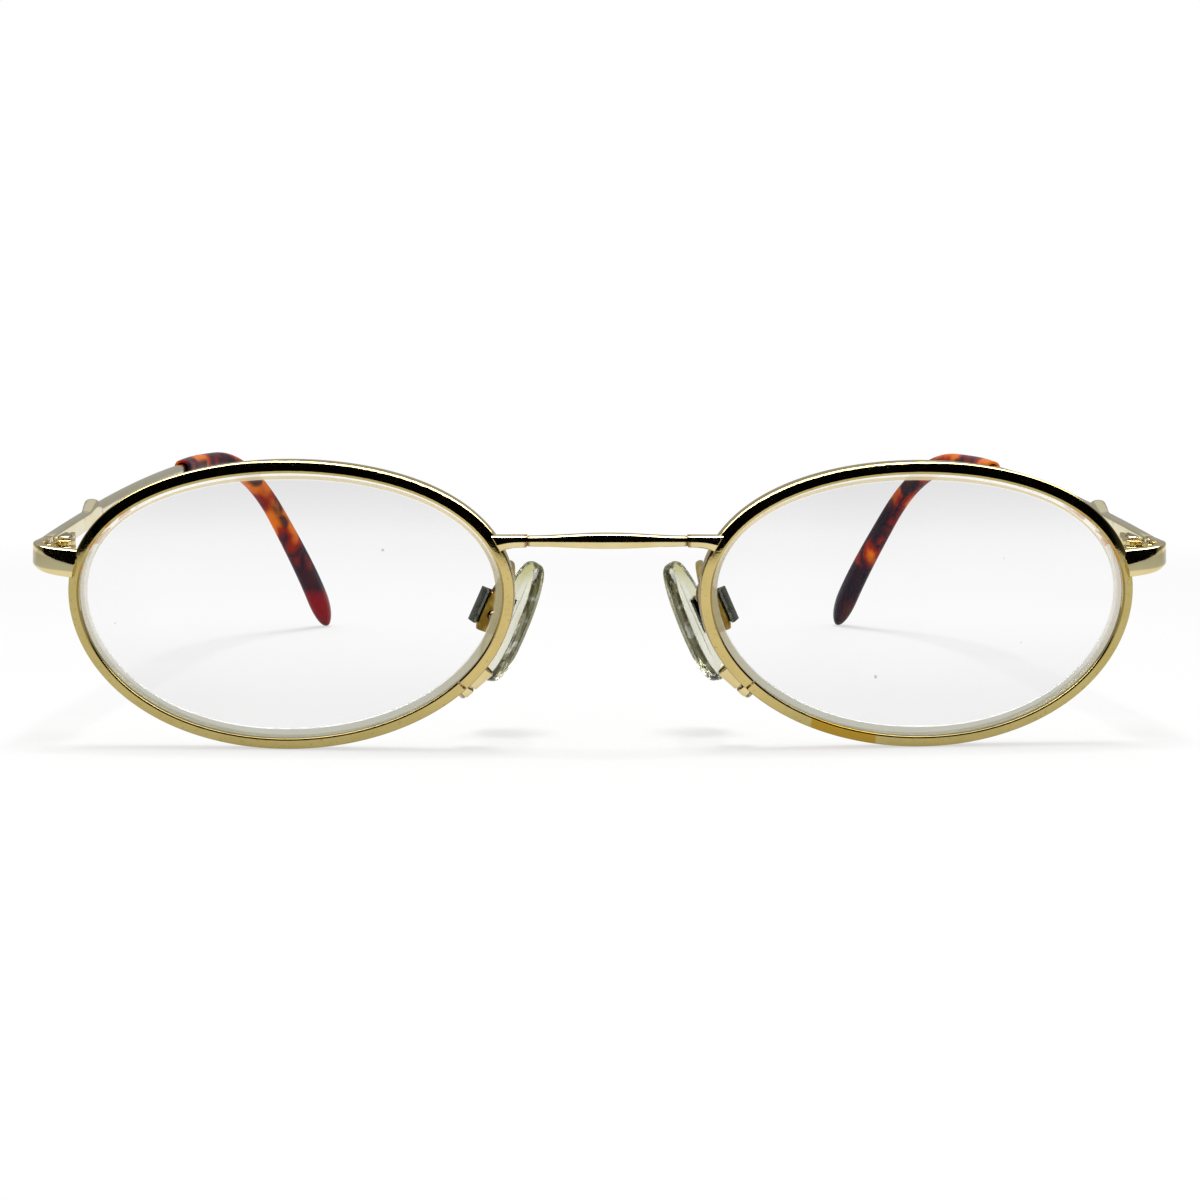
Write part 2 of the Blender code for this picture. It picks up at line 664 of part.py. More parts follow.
def make_temple(drop):
    """The metal temple from its butt to the end of its core."""
    bead_start = BEAD_AT - BEAD_LENGTH * 0.65
    bead_end = BEAD_AT + BEAD_LENGTH * 0.65
    distances = [0.0, bead_start / 2.0] + spaced(bead_start, bead_end, 10)
    distances += spaced(bead_end, TIP_START, 5)[1:] + spaced(TIP_START, TIP_BEND_START, 5)[1:]
    distances += spaced(TIP_BEND_START, bend_end(drop), 8)[1:] + [CORE_END]
    return loft([temple_ring(distance, drop, *metal_size(distance)) for distance in distances])


def tip_rings(drop):
    """The tip's rings, from the blind end of its bore out to the mouth and back along the outside."""
    inner = spaced(TIP_START, TIP_BEND_START, 5) + spaced(TIP_BEND_START, bend_end(drop), 8)[1:]
    inner.append(CORE_END + TIP_FIT)
    bore = []
    for distance in inner:
        half_width, top, bottom, corner = metal_size(distance)
        sizes = (half_width + TIP_FIT, top + TIP_FIT, bottom + TIP_FIT, corner + TIP_FIT)
        bore.append(temple_ring(distance, drop, *sizes))
    outer = [TIP_START + TIP_MOUTH_WALL] + spaced(TIP_START, TIP_BEND_START, 5)[1:]
    outer += spaced(TIP_BEND_START, bend_end(drop), 8)[1:] + spaced(bend_end(drop), TEMPLE_LENGTH, 4)[1:-1]
    round_start = TEMPLE_LENGTH - TIP_ROUND_END
    outer = [distance for distance in outer if distance < round_start]
    outer += [TEMPLE_LENGTH - TIP_ROUND_END * (1.0 - math.sin(math.pi / 10.0 * step)) for step in range(5)]
    shell = [temple_ring(distance, drop, *tip_size(distance)) for distance in outer]
    lip = tip_size(TIP_START)
    shell.insert(0, temple_ring(TIP_START, drop, *(size - TIP_MOUTH_WALL / 2.0 for size in lip)))
    return bore[::-1] + shell + [[temple_line(TEMPLE_LENGTH, drop)]]


def make_temple_tip(drop):
    return loft(tip_rings(drop))


def table_drop():
    """The drop angle at which the tips reach the table that the rims stand on."""
    lean = Matrix.Rotation(FRONT_TILT, 4, "X")
    table = rim_low_point()
    high, low = math.radians(10.0), math.radians(100.0)
    for _ in range(30):
        drop = (high + low) / 2.0
        lowest = min((lean @ point).z for ring in tip_rings(drop) for point in ring)
        if lowest > table:
            high = drop
        else:
            low = drop
    return (high + low) / 2.0


# The nose pads. The pad's frame: x back along the pin, y towards the nose, z up the pad.


def pad_frame():
    """The pin's place and the pad's directions, in the front's frame."""
    up = Vector((-math.sin(PAD_FLARE), math.sin(PAD_LEAN), math.cos(PAD_FLARE))).normalized()
    back = Vector((math.sin(PAD_SPLAY), math.cos(PAD_SPLAY), 0.0))
    back = (back - up * back.dot(up)).normalized()
    nose = up.cross(back)
    turn = Matrix((back, nose, up)).transposed().to_4x4()
    return Matrix.Translation(PAD_PIN_PLACE) @ turn


def curve_through(points, steps):
    """Points on a smooth line through the given ones."""
    line = []
    padded = [points[0] * 2.0 - points[1]] + points + [points[-1] * 2.0 - points[-2]]
    for before, here, there, after in zip(padded, padded[1:], padded[2:], padded[3:]):
        for step in range(steps):
            t = step / steps
            swing = (there - before) * t + (before * 2.0 - here * 5.0 + there * 4.0 - after) * t**2
            line.append(here + (swing + (here * 3.0 - before - there * 3.0 + after) * t**3) / 2.0)
    return line + [points[-1]]


def make_pad_arm():
    """The arm: a wire bent back and over from the rim, stamped flat into a plate at its end."""
    frame = pad_frame()
    foot = Vector((0.0, EYEWIRE_DEPTH / 2.0 + SOLDER_GAP, 0.0)) + oval(ARM_FOOT_ANGLE, EYEWIRE_WALL * 0.45)
    foot = eye_frame() @ foot
    plate_top = frame @ Vector((0.0, 0.0, PLATE_LENGTH - PIN_ABOVE_PLATE_END))
    plate_end = frame @ Vector((0.0, 0.0, -PIN_ABOVE_PLATE_END))
    span = plate_top - foot
    rise = Vector((0.0, 0.0, 1.0))
    route = [
        foot,
        foot + Vector((0.0, span.y * 0.28, 0.0)) + rise * ARM_ARCH * 0.6,
        foot + Vector((span.x * 0.1, span.y * 0.6, 0.0)) + rise * ARM_ARCH,
        foot + Vector((span.x * 0.5, span.y * 0.9, span.z * 0.2)) + rise * ARM_ARCH * 0.6,
        plate_top,
    ]
    line = curve_through(route, 4) + [blend(plate_top, plate_end, 0.2), plate_end]
    nose = frame.to_3x3() @ Vector((0.0, 1.0, 0.0))
    rings = []
    wire_end = len(line) - 3
    for index, middle in enumerate(line):
        along = (line[min(index + 1, len(line) - 1)] - line[max(index - 1, 0)]).normalized()
        across = (nose - along * nose.dot(along)).normalized()
        thick = along.cross(across)
        flat = ease((index - wire_end + 3) / 4.0)
        half_width = blend(ARM_RADIUS, PLATE_HALF_WIDTH, flat)
        half_thick = blend(ARM_RADIUS, PLATE_THICKNESS / 2.0, flat)
        section = rounded_section(half_width, half_thick, half_thick, half_thick * blend(0.99, 0.4, flat))
        rings.append([middle + across * a + thick * b for a, b in section])
    return loft(rings)


def make_nose_pad():
    """The pad: a soft rounded plate with a flat face towards the nose, on the clip's near ear."""
    back = PLATE_HALF_WIDTH + CLIP_EAR_GAP + CLIP_WALL - PAD_SEAT_DEPTH
    layers = (
        (back, PAD_ROUND * 0.45),
        (back + PAD_THICKNESS * 0.2, PAD_ROUND * 0.1),
        (back + PAD_THICKNESS * 0.45, 0.0),
        (back + PAD_THICKNESS * 0.75, PAD_ROUND * 0.3),
        (back + PAD_THICKNESS, PAD_ROUND),
    )
    rings = []
    for height, inset in layers:
        ring = []
        for step in range(PAD_STEPS):
            turn = 2.0 * math.pi * step / PAD_STEPS
            wide = PAD_HALF_WIDTH - inset
            long = PAD_HALF_LENGTH - inset
            narrow = 1.0 - 0.12 * math.sin(turn)
            x = wide * narrow * math.copysign(abs(math.cos(turn)) ** 0.85, math.cos(turn))
            z = long * math.copysign(abs(math.sin(turn)) ** 0.9, math.sin(turn))
            ring.append(Vector((x, height, PAD_ABOVE_PIN + z)))
        rings.append(ring)
    return loft(rings)


def make_pad_group(word, side, parent, steel, clear):
    """The clip, pin and pad that rock together on the arm's plate."""
    half_plate = PLATE_THICKNESS / 2.0
    ear = PLATE_HALF_WIDTH + CLIP_EAR_GAP
    web = half_plate + TURN_GAP
    back = web + CLIP_WALL
    mouth = -half_plate - TURN_GAP
    low = PLATE_FOOT - PIN_ABOVE_PLATE_END
    high = PLATE_LENGTH - PIN_ABOVE_PLATE_END
    outline = [(mouth, ear), (mouth, ear + CLIP_WALL), (back, ear + CLIP_WALL), (back, -ear - CLIP_WALL)]
    outline += [(mouth, -ear - CLIP_WALL), (mouth, -ear), (web, -ear), (web, ear)]
    clip = piece("pad_clip_" + word, prism(outline, low, high), steel, parent, side)
    break_edges(clip, CLIP_WALL * 0.25)
    cut_away(clip, rod(PIN_RADIUS + SEAT_GAP, 0.0, back * 1.5, WIRE_STEPS, "X"), side)
    front = -half_plate - SEAT_GAP
    rear = back + SEAT_GAP
    profile = [
        (0, front - PIN_HEAD_HEIGHT),
        (PIN_HEAD_RADIUS * 0.7, front - PIN_HEAD_HEIGHT),
        (PIN_HEAD_RADIUS, front - PIN_HEAD_HEIGHT * 0.5),
        (PIN_HEAD_RADIUS, front),
        (PIN_RADIUS, front),
        (PIN_RADIUS, rear),
        (PIN_HEAD_RADIUS, rear),
        (PIN_HEAD_RADIUS, rear + PIN_HEAD_HEIGHT),
        (0, rear + PIN_HEAD_HEIGHT),
    ]
    piece("pad_pin_" + word, turned(profile, WIRE_STEPS, "X"), steel, parent, side)
    pad = piece("nose_pad_" + word, make_nose_pad(), clear, parent, side)
    seat = block(
        (mouth - SEAT_GAP, 0.0, low - SEAT_GAP),
        (back + SEAT_GAP, ear + CLIP_WALL + SEAT_GAP, high + SEAT_GAP),
    )
    cut_away(pad, seat, side)


def build():
    for old in list(bpy.data.objects):
        bpy.data.objects.remove(old)
    gold = material("gold_plate", GOLD, 0.16, 1.0)
    steel = material("steel", STEEL, 0.25, 1.0)
    glass = material("lens_glass", LENS_TINT, 0.02, 0.0, 0.35)
    clear = material("clear_pad", PAD_TINT, 0.15, 0.0, 0.7)
    tortoise = material("tortoise", TORTOISE, 0.12, 0.0)

    lean = Matrix.Translation((0.0, 0.0, -rim_low_point())) @ Matrix.Rotation(FRONT_TILT, 4, "X")
    front = empty("front_frame", frame=lean)
    drop = table_drop()
    hinge = Matrix.Translation(hinge_place())
    half_knuckle = BARREL_HEIGHT / 6.0
    top = BARREL_HEIGHT / 2.0 * 1.1

    piece("bridge_bar", make_bridge_bar(), gold, front)
    for word, side in SIDES:
        eye = empty("eye_frame_" + word, front, eye_frame(), side)
        piece("rim_" + word, make_rim(), gold, eye, side)
        piece("lens_" + word, make_lens(), glass, eye, side)
        make_closing_block(word, side, eye, gold, steel)

        rim_clear = (-SOLDER_GAP, -EYEWIRE_DEPTH * 3.0, EYEWIRE_DEPTH * 3.0)
        stub = piece("bridge_stub_" + word, make_bridge_stub(), gold, front, side)
        cut_away(stub, oval_prism(*rim_clear), side, eye_frame())
        lug = piece("end_piece_" + word, make_end_piece(), gold, front, side)
        cut_away(lug, oval_prism(*rim_clear), side, eye_frame())

        slots = [(-half_knuckle - TURN_GAP, half_knuckle + TURN_GAP)]
        make_hinge_half("hinge_front_" + word, side, front, hinge, gold, FRONT_LEAF_LENGTH, -1, slots)
        make_hinge_screw("hinge_screw_" + word, side, front, hinge, steel)

        swing = empty("temple_hinge_" + word, front, hinge, side)
        slots = [(half_knuckle, top), (-top, -half_knuckle)]
        make_hinge_half("hinge_temple_" + word, side, swing, Matrix(), gold, TEMPLE_LEAF_LENGTH, 1, slots)
        pieces = (("temple_", make_temple(drop), gold), ("temple_tip_", make_temple_tip(drop), tortoise))
        for name, body, finish in pieces:
            bmesh.ops.translate(body, verts=body.verts, vec=-hinge_place())
            piece(name + word, body, finish, swing, side)

        arm = piece("pad_arm_" + word, make_pad_arm(), gold, front, side)
        hole = rod(PIN_RADIUS + SEAT_GAP, -PLATE_THICKNESS, PLATE_THICKNESS, WIRE_STEPS, "X")
        cut_away(arm, hole, side, pad_frame())
        rock = empty("pad_pivot_" + word, front, pad_frame(), side)
        make_pad_group(word, side, rock, steel, clear)

    centre_on_table(front)


def centre_on_table(front):
    """Moves the whole so that the origin is the middle of its box."""
    bpy.context.view_layer.update()
    reach = []
    for made in bpy.data.objects:
        if made.type == "MESH" and not made.hide_render:
            reach += [(made.matrix_world @ vert.co).y for vert in made.data.vertices]
    front.location.y -= (min(reach) + max(reach)) / 2.0
    bpy.context.view_layer.update()


build()
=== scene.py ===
"""Oval gold-plated glasses with clear nose pads and mottled tips, standing open on a white table.

Metres, in the row's frame: +Z up, the lenses face -Y, and the wearer's left is +X.
"""
import json
import math

import bmesh
import bpy
from mathutils import Matrix, Vector


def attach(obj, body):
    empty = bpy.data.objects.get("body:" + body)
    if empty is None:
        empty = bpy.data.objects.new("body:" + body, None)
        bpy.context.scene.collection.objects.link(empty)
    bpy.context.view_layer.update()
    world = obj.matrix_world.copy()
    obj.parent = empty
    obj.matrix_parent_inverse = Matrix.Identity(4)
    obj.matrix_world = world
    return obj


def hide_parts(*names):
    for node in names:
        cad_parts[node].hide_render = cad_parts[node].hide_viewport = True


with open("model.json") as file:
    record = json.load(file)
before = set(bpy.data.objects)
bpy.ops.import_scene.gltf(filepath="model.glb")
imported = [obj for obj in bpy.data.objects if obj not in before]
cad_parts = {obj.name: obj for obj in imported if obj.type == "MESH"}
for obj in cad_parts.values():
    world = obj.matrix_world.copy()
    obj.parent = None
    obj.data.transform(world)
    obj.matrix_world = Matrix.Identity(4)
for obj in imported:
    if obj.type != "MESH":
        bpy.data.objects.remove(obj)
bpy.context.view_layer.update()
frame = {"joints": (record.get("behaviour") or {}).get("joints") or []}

# The studio: a white table, a soft lamp overhead, white behind the glasses and a dark room behind the
# camera, which polished metal mirrors as its black bands. The camera stands low in front, a little to
# the wearer's right.
CAMERA_PLACE = Vector((-0.00604, -0.23625, 0.03307))
CAMERA_YAW = -0.0307
CAMERA_PITCH = -0.0923
CAMERA_ROLL = -0.0018
CAMERA_LENS = 46.57
CAMERA_CLIP = 0.01
SENSOR_WIDTH = 36.0
TABLE_HALF = 3.0
TABLE_PAPER = (0.93, 0.93, 0.93, 1.0)
TABLE_FADE = (0.12, 0.45)
TABLE_LIFT = 0.58
TABLE_DARK_AWAY = (0.16, 0.28)
TABLE_DARK_FRONT = (0.15, -0.05)
LAMP_PLACE = Vector((0.0, -0.09, 0.62))
LAMP_SIZE = (0.17, 0.15)
LAMP_POWER = 1.75
ROOM_LIGHT = 0.66
DARK_ROOM = 0.001
DIM_THROUGH = 0.28
DIM_SIDES = 0.16
WHITE_BEHIND = 0.42
BRIGHT_BAND = 14.0
DIM_OVERHEAD = 0.70
# Where the room's parts begin and are full, by how far back or up a ray points.
BESIDE = (-0.62, -0.30)
BEHIND = (-0.25, 0.35)
ABOVE = (0.42, 0.80)
BAND_HEIGHT = (0.50, 0.60, 0.84, 0.96)
BAND_FRONT = (0.0, -0.25)
WHITE = (1.0, 1.0, 1.0, 1.0)
RAYS = ("Is Camera Ray", "Is Glossy Ray", "Is Transmission Ray")


class Wire:
    """A node's output. Sums on it are written as Python, and add their own Math nodes."""

    def __init__(self, look, socket):
        self.look = look
        self.socket = socket

    def maths(self, operation, first, second):
        return self.look.node("ShaderNodeMath", {"operation": operation}, {0: first, 1: second})

    def __add__(self, other):
        return self.maths("ADD", self, other)

    def __sub__(self, other):
        return self.maths("SUBTRACT", self, other)

    def __rsub__(self, other):
        return self.maths("SUBTRACT", other, self)

    def __mul__(self, other):
        return self.maths("MULTIPLY", self, other)

    def __pow__(self, other):
        return self.maths("POWER", self, other)

    __radd__ = __add__
    __rmul__ = __mul__


class Look:
    """The nodes of one finish, or of the room."""

    def __init__(self, owner):
        owner.use_nodes = True
        self.owner = owner
        self.tree = owner.node_tree

    def node(self, kind, settings=None, sockets=None, output=0):
        """Adds a node: its settings first, then the values or wires of its sockets."""
        made = self.tree.nodes.new(kind)
        for name, value in (settings or {}).items():
            if name == "stops":
                ramp = made.color_ramp.elements
                while len(ramp) < len(value):
                    ramp.new(1.0)
                for element, (place, colour) in zip(ramp, value):
                    element.position = place
                    element.color = (*colour, 1.0)
            else:
                setattr(made, name, value)
        self.plug(made, sockets or {})
        return Wire(self, made.outputs[output])

    def plug(self, node, sockets):
        for name, value in sockets.items():
            if isinstance(value, Wire):
                self.tree.links.new(value.socket, node.inputs[name])
            else:
                node.inputs[name].default_value = value

    def surface(self, **sockets):
        """Sets the finish's own shader, with a socket's words joined by _."""
        names = {name: name.replace("_", " ").title() for name in sockets}
        names.update(ior="IOR", specular_ior_level="Specular IOR Level")
        shader = self.tree.nodes["Principled BSDF"]
        self.plug(shader, {names[name]: value for name, value in sockets.items()})
        return self.owner

    def output(self, kind, shader):
        """Sends another shader to the output."""
        self.tree.links.new(shader.socket, self.tree.nodes[kind + " Output"].inputs["Surface"])
        return self.owner

    def rise(self, value, low, high):
        """Runs smoothly from 0 at low to 1 at high."""
        settings = {"interpolation_type": "SMOOTHSTEP"}
        return self.node("ShaderNodeMapRange", settings, {"Value": value, "From Min": low, "From Max": high})

    def between(self, value, low, full, fading, high):
        """1 from full to fading, and smoothly down to 0 at low and at high."""
        return self.rise(value, low, full) * self.rise(value, high, fading)

    def mix(self, share, first, second):
        """A colour between two colours."""
        colours = [(*c, 1.0) if isinstance(c, tuple) else c for c in (first, second)]
        return self.node("ShaderNodeMix", {"data_type": "RGBA"}, {0: share, 6: colours[0], 7: colours[1]}, 2)

    def place(self):
        """Where a point lies on the piece, at rest."""
        return self.node("ShaderNodeTexCoord", output="Object")

    def axes(self, vector):
        """The three parts of a place or direction."""
        parts = self.tree.nodes.new("ShaderNodeSeparateXYZ")
        self.plug(parts, {0: vector})
        return [Wire(self, output) for output in parts.outputs]

    def along(self):
        """Where a point lies along the piece's rings, and how far round its ring, from 0 to 1."""
        return self.axes(self.node("ShaderNodeUVMap", {"uv_map": "along"}))[:2]

    def noise(self, scale, detail=3.0, place=None, roughness=0.5):
        sockets = {"Vector": place or self.place(), "Scale": scale, "Detail": detail, "Roughness": roughness}
        return self.node("ShaderNodeTexNoise", None, sockets)

    def patches(self, scale, detail, low, high):
        """1 in soft patches, 0 between them."""
        return self.rise(self.noise(scale, detail), low, high)

    def bump(self, height, strength, distance):
        sockets = {"Height": height, "Strength": strength, "Distance": distance}
        return self.node("ShaderNodeBump", None, sockets)

    def ray(self, kind):
        """1 where the light path's last ray is of a kind, such as Is Camera Ray, or the path's depth."""
        return self.node("ShaderNodeLightPath", output=kind)


def new_look(name):
    return Look(bpy.data.materials.new(name))


def add(name, data):
    """A new object in the scene."""
    made = bpy.data.objects.new(name, data)
    scene.collection.objects.link(made)
    return made


scene = bpy.context.scene
scene.view_settings.view_transform = "Standard"

camera = add("camera", bpy.data.cameras.new("camera"))
camera.data.sensor_fit = "HORIZONTAL"
camera.data.sensor_width = SENSOR_WIDTH
camera.data.lens = CAMERA_LENS
camera.data.clip_start = CAMERA_CLIP
turn = Matrix.Rotation(CAMERA_YAW, 4, "Z") @ Matrix.Rotation(CAMERA_PITCH, 4, "X")
turn = turn @ Matrix.Rotation(CAMERA_ROLL, 4, "Y") @ Matrix.Rotation(math.radians(90.0), 4, "X")
camera.matrix_world = Matrix.Translation(CAMERA_PLACE) @ turn
scene.camera = camera

lamp = add("soft_lamp", bpy.data.lights.new("soft_lamp", "AREA"))
lamp.data.shape = "RECTANGLE"
lamp.data.size, lamp.data.size_y = LAMP_SIZE
lamp.data.energy = LAMP_POWER
lamp.location = LAMP_PLACE
lamp.visible_glossy = False

scene.world = bpy.data.worlds.new("room")
room = Look(scene.world)
looked, glossy, refracted = [room.ray(kind) for kind in RAYS]
_, depth, height = room.axes(room.node("ShaderNodeTexCoord", output="Generated"))
beside = room.rise(depth, *BESIDE)
behind = room.rise(depth, *BEHIND)
above = room.rise(height, *ABOVE)
band = room.between(height, *BAND_HEIGHT) * room.rise(depth, *BAND_FRONT)
band = band * room.rise(room.ray("Diffuse Depth"), 1.0, 0.0)
mirrored = DARK_ROOM + DIM_SIDES * beside + (WHITE_BEHIND - DIM_SIDES) * behind
mirrored = mirrored + above * (DIM_OVERHEAD - mirrored)
mirrored = mirrored + band * (BRIGHT_BAND - mirrored)
through = DIM_THROUGH + (1.0 - DIM_THROUGH) * behind
through = through + above * (1.0 - through)
seen = looked + glossy + refracted
strength = looked + glossy * mirrored + refracted * through
strength = strength + (1.0 - seen) * ROOM_LIGHT
room.output("World", room.node("ShaderNodeBackground", None, {"Color": WHITE, "Strength": strength}))

corners = [(x * TABLE_HALF, y * TABLE_HALF, 0.0) for x, y in ((-1, -1), (1, -1), (1, 1), (-1, 1))]
table_mesh = bpy.data.meshes.new("table")
table_mesh.from_pydata(corners, [], [(0, 1, 2, 3)])
table = add("table", table_mesh)
paper = new_look("white_table")
away = paper.node("ShaderNodeVectorMath", {"operation": "LENGTH"}, {0: paper.place()}, "Value")
fade = paper.rise(away, *TABLE_FADE)
plain = paper.node("ShaderNodeBsdfDiffuse", None, {"Color": TABLE_PAPER})
bright = paper.node("ShaderNodeEmission", None, {"Color": WHITE, "Strength": 1.0})
depth = paper.axes(paper.place())[1]
in_front = paper.rise(away, *TABLE_DARK_AWAY) * paper.rise(depth, *TABLE_DARK_FRONT)
looked, glossy, refracted = [paper.ray(kind) for kind in RAYS]
seen = glossy * (1.0 - in_front) + looked + refracted
share = seen * (TABLE_LIFT + (1.0 - TABLE_LIFT) * fade)
lit = paper.node("ShaderNodeMixShader", None, {0: share, 1: plain, 2: bright})
table_mesh.materials.append(paper.output("Material", lit))

# The eyewires: two ovals of gold-plated strip with a groove inside for the lens, each split where the
# closing block clamps it. The front faces slope outwards, so the upper halves mirror the dark room and
# the lower halves mirror the table.
RIM_CENTRE_X = 0.03544
RIM_HALF_WIDTH = 0.0253
RIM_HALF_HEIGHT = 0.01639
OVAL_EGG = 0.00033
OVAL_POINT = 0.00033
OVAL_SAG = 0.00065
FACE_WRAP = math.radians(4.0)
OVAL_ROLL = math.radians(2.2)
HINGE_IN_FRONT = Vector((0.0621, 0.0081, 0.0215))
RIM_WALL = 0.0013
RIM_DEPTH = 0.0019
RIM_SLOPE = 0.00034
RIM_INNER_BEVEL = 0.00023
RIM_LIP = 0.00014
GROOVE_DEPTH = 0.0005
GROOVE_WIDTH = 0.0009
RIM_SPLIT_ANGLE = math.radians(220.5)
RIM_SPLIT = 0.0003
RIM_STEPS = 260
RIM_FRONT_ROUND = 0.00019
RIM_WORN_ROUND = 0.00012
RIM_BACK_ROUND = 0.00030
RIM_INNER_ROUND = 0.00012
RIM_LIP_ROUND = 0.00004
RIM_BEVEL_ROUND = 0.00008
GROOVE_EDGE_ROUND = 0.00005
GROOVE_FLOOR_ROUND = 0.00008
# Where the colour and its painted shade and light change: bands are shares of the way round the strip, and
# squares are of x, for both sides.
BEVEL_BAND = (0.78, 0.84, 0.89, 0.95)
OUTER_BAND = (0.02, 0.06, 0.11, 0.20)
LOWER_EDGES_HEIGHT = (0.0235, 0.0190)
NASAL_SHEEN_SQUARE = (0.00055, 0.00020)
GLINT_SQUARE = (0.0026, 0.0030)
GLINT_HEIGHT = (0.018, 0.021)
RIPPLE_SQUARE = (0.0021, 0.0012)
RIPPLE_HEIGHT = (0.022, 0.028)
WORN_ACROSS = (0.0231, 0.0234, 0.0306, 0.0309)
WORN_HEIGHT = (0.006, 0.005)
RIM_GOLD = (0.62, 0.48, 0.19)
RIM_GOLD_LESS_LIT = (0.46, 0.37, 0.13)
RIM_TARNISH_AND_SHADE = (0.16, 0.10, 0.03)
AMBER_GLINT = (0.50, 0.20, 0.03)
RIM_GOLD_WORN = (0.40, 0.23, 0.012)
RIM_GOLD_PALE = (0.56, 0.46, 0.20)
FINE_MARKS = 5200.0
SOFT_HAZE = 900.0
SHARP_ANGLE = 38.0
SOFTEN_ANGLE = math.radians(40.0)
SOFTEN_STEPS = 3

hinge_left = next(joint for joint in frame["joints"] if joint["name"] == "left_temple_fold")
FRONT_TILT = math.atan2(-hinge_left["axis"][1], hinge_left["axis"][2])
lean = Matrix.Rotation(FRONT_TILT, 4, "X")
FRONT = Matrix.Translation(Vector(hinge_left["pos_m"]) - lean @ HINGE_IN_FRONT) @ lean


def blend(start, end, share):
    return start + (end - start) * share


def ease(value):
    """Runs smoothly from 0 to 1."""
    value = min(max(value, 0.0), 1.0)
    return value * value * (3.0 - 2.0 * value)


def spaced(start, end, steps):
    return [blend(start, end, step / steps) for step in range(steps + 1)]


def rounded(corners, steps=5):
    """Points round a section whose corners are (across, up, how far the rounding reaches)."""
    points = []
    for before, here, after in zip(corners[-1:] + corners[:-1], corners, corners[1:] + corners[:1]):
        corner = Vector(here[:2])
        ways = [Vector(other[:2]) - corner for other in (before, after)]
        start, end = [corner + way * min(here[2] / way.length, 0.49) for way in ways]
        for share in spaced(0.0, 1.0, steps):
            points.append(start * (1.0 - share) ** 2 + corner * 2.0 * share * (1.0 - share) + end * share**2)
    return points


def skin(rings, along=None, close=False):
    """Points, faces and face corners' (along, around) places of a body through rings of points.

    A ring of one point closes an end, other ends are capped, and close joins the last ring to the first.
    """
    points = []
    starts = []
    for ring in rings:
        starts.append(len(points))
        points += ring
    along = along or list(range(len(rings)))
    faces = []
    places = []
    pairs = [(index, index + 1) for index in range(len(rings) - 1)]
    if close:
        pairs.append((len(rings) - 1, 0))
    for here, there in pairs:
        steps = max(len(rings[here]), len(rings[there]))
        for step in range(steps):
            corners = {}
            for ring, after in ((here, 0), (here, 1), (there, 1), (there, 0)):
                point = starts[ring] + (step + after) % len(rings[ring])
                corners.setdefault(point, (along[ring], (step + after) / steps))
            faces.append(list(corners))
            places.append(list(corners.values()))
    if not close:
        for end in (0, len(rings) - 1):
            if len(rings[end]) > 1:
                faces.append([starts[end] + step for step in range(len(rings[end]))])
                places.append([(along[end], 0.0)] * len(rings[end]))
    return points, faces, places


def solid(name, shape, turn):
    """A closed mesh object from a shape, its faces turned outwards."""
    points, faces, places = shape
    mesh = bpy.data.meshes.new(name)
    mesh.from_pydata([turn @ point for point in points], [], faces)
    layer = mesh.uv_layers.new(name="along")
    layer.data.foreach_set("uv", [value for face in places for corner in face for value in corner])
    faced = bmesh.new()
    faced.from_mesh(mesh)
    bmesh.ops.recalc_face_normals(faced, faces=faced.faces[:])
    if faced.calc_volume(signed=True) < 0.0:
        bmesh.ops.reverse_faces(faced, faces=faced.faces[:])
    faced.to_mesh(mesh)
    faced.free()
    return add(name, mesh)


def fit(
    name, shape, finish, body, node, slot, side=1, place=Matrix(), sharp=SHARP_ANGLE, cutters=(), soften=0.0
):
    """One piece, described for the wearer's left, set in the front's frame and mirrored for the right."""
    turn = FRONT @ Matrix.Diagonal((side, 1.0, 1.0, 1.0)) @ place
    piece = solid(name, shape, turn)
    tools = [solid(name + "_cutter", cutter, turn) for cutter in cutters]
    for tool in tools:
        cut = piece.modifiers.new("cut", "BOOLEAN")
        cut.object = tool
    if soften:
        edges = piece.modifiers.new("edges", "BEVEL")
        edges.width = soften
        edges.segments = SOFTEN_STEPS
        edges.angle_limit = SOFTEN_ANGLE
    if tools or soften:
        worked = piece.evaluated_get(bpy.context.evaluated_depsgraph_get())
        shaped = bpy.data.meshes.new_from_object(worked)
        piece.modifiers.clear()
        piece.data = shaped
    for tool in tools:
        bpy.data.objects.remove(tool)
    for one in finish if isinstance(finish, list) else [finish]:
        piece.data.materials.append(one)
    piece.data.shade_smooth()
    piece.data.set_sharp_from_angle(angle=math.radians(sharp))
    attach(piece, body)
    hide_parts(node)
    return piece


def pair(name, shape, finish, body, node, slot, place=Matrix(), **shaping):
    """The same piece on both sides. What isn't on the front rides on the side or pad of its own half."""
    pieces = []
    for word, side in (("left", 1), ("right", -1)):
        rides = body if body == "front" else f"{word}_{body}"
        words = (rides, f"{node}_{word}", slot)
        pieces.append(fit(f"{name}_{word}", shape, finish, *words, side, place, **shaping))
    return pieces


def gold_plate(name, bright_gold, deep_gold, gloss=0.06, grain=1.0, overlay=None, overlay_colour=None):
    """Gold plate: its colour drifts a little, and fine polishing marks dull it in places. An overlay mask
    lays a second colour over it, which is painted shade and reflection on the lugs and pad arms and the
    solder seams on the bridge.
    """
    gold = new_look(name)
    drift = gold.patches(260.0, 4.0, 0.35, 0.72)
    marks = gold.noise(FINE_MARKS, 2.0)
    haze = gold.noise(SOFT_HAZE)
    colour = gold.mix(drift * 0.55, bright_gold, deep_gold)
    if overlay:
        colour = gold.mix(overlay(gold) * 0.8, colour, overlay_colour)
    relief = gold.bump(marks + haze * 2.0, 0.05 * grain, 0.00004)
    return gold.surface(
        base_color=colour,
        metallic=1.0,
        roughness=gloss + 0.10 * gold.rise(haze, 0.45, 0.75),
        normal=relief,
    )


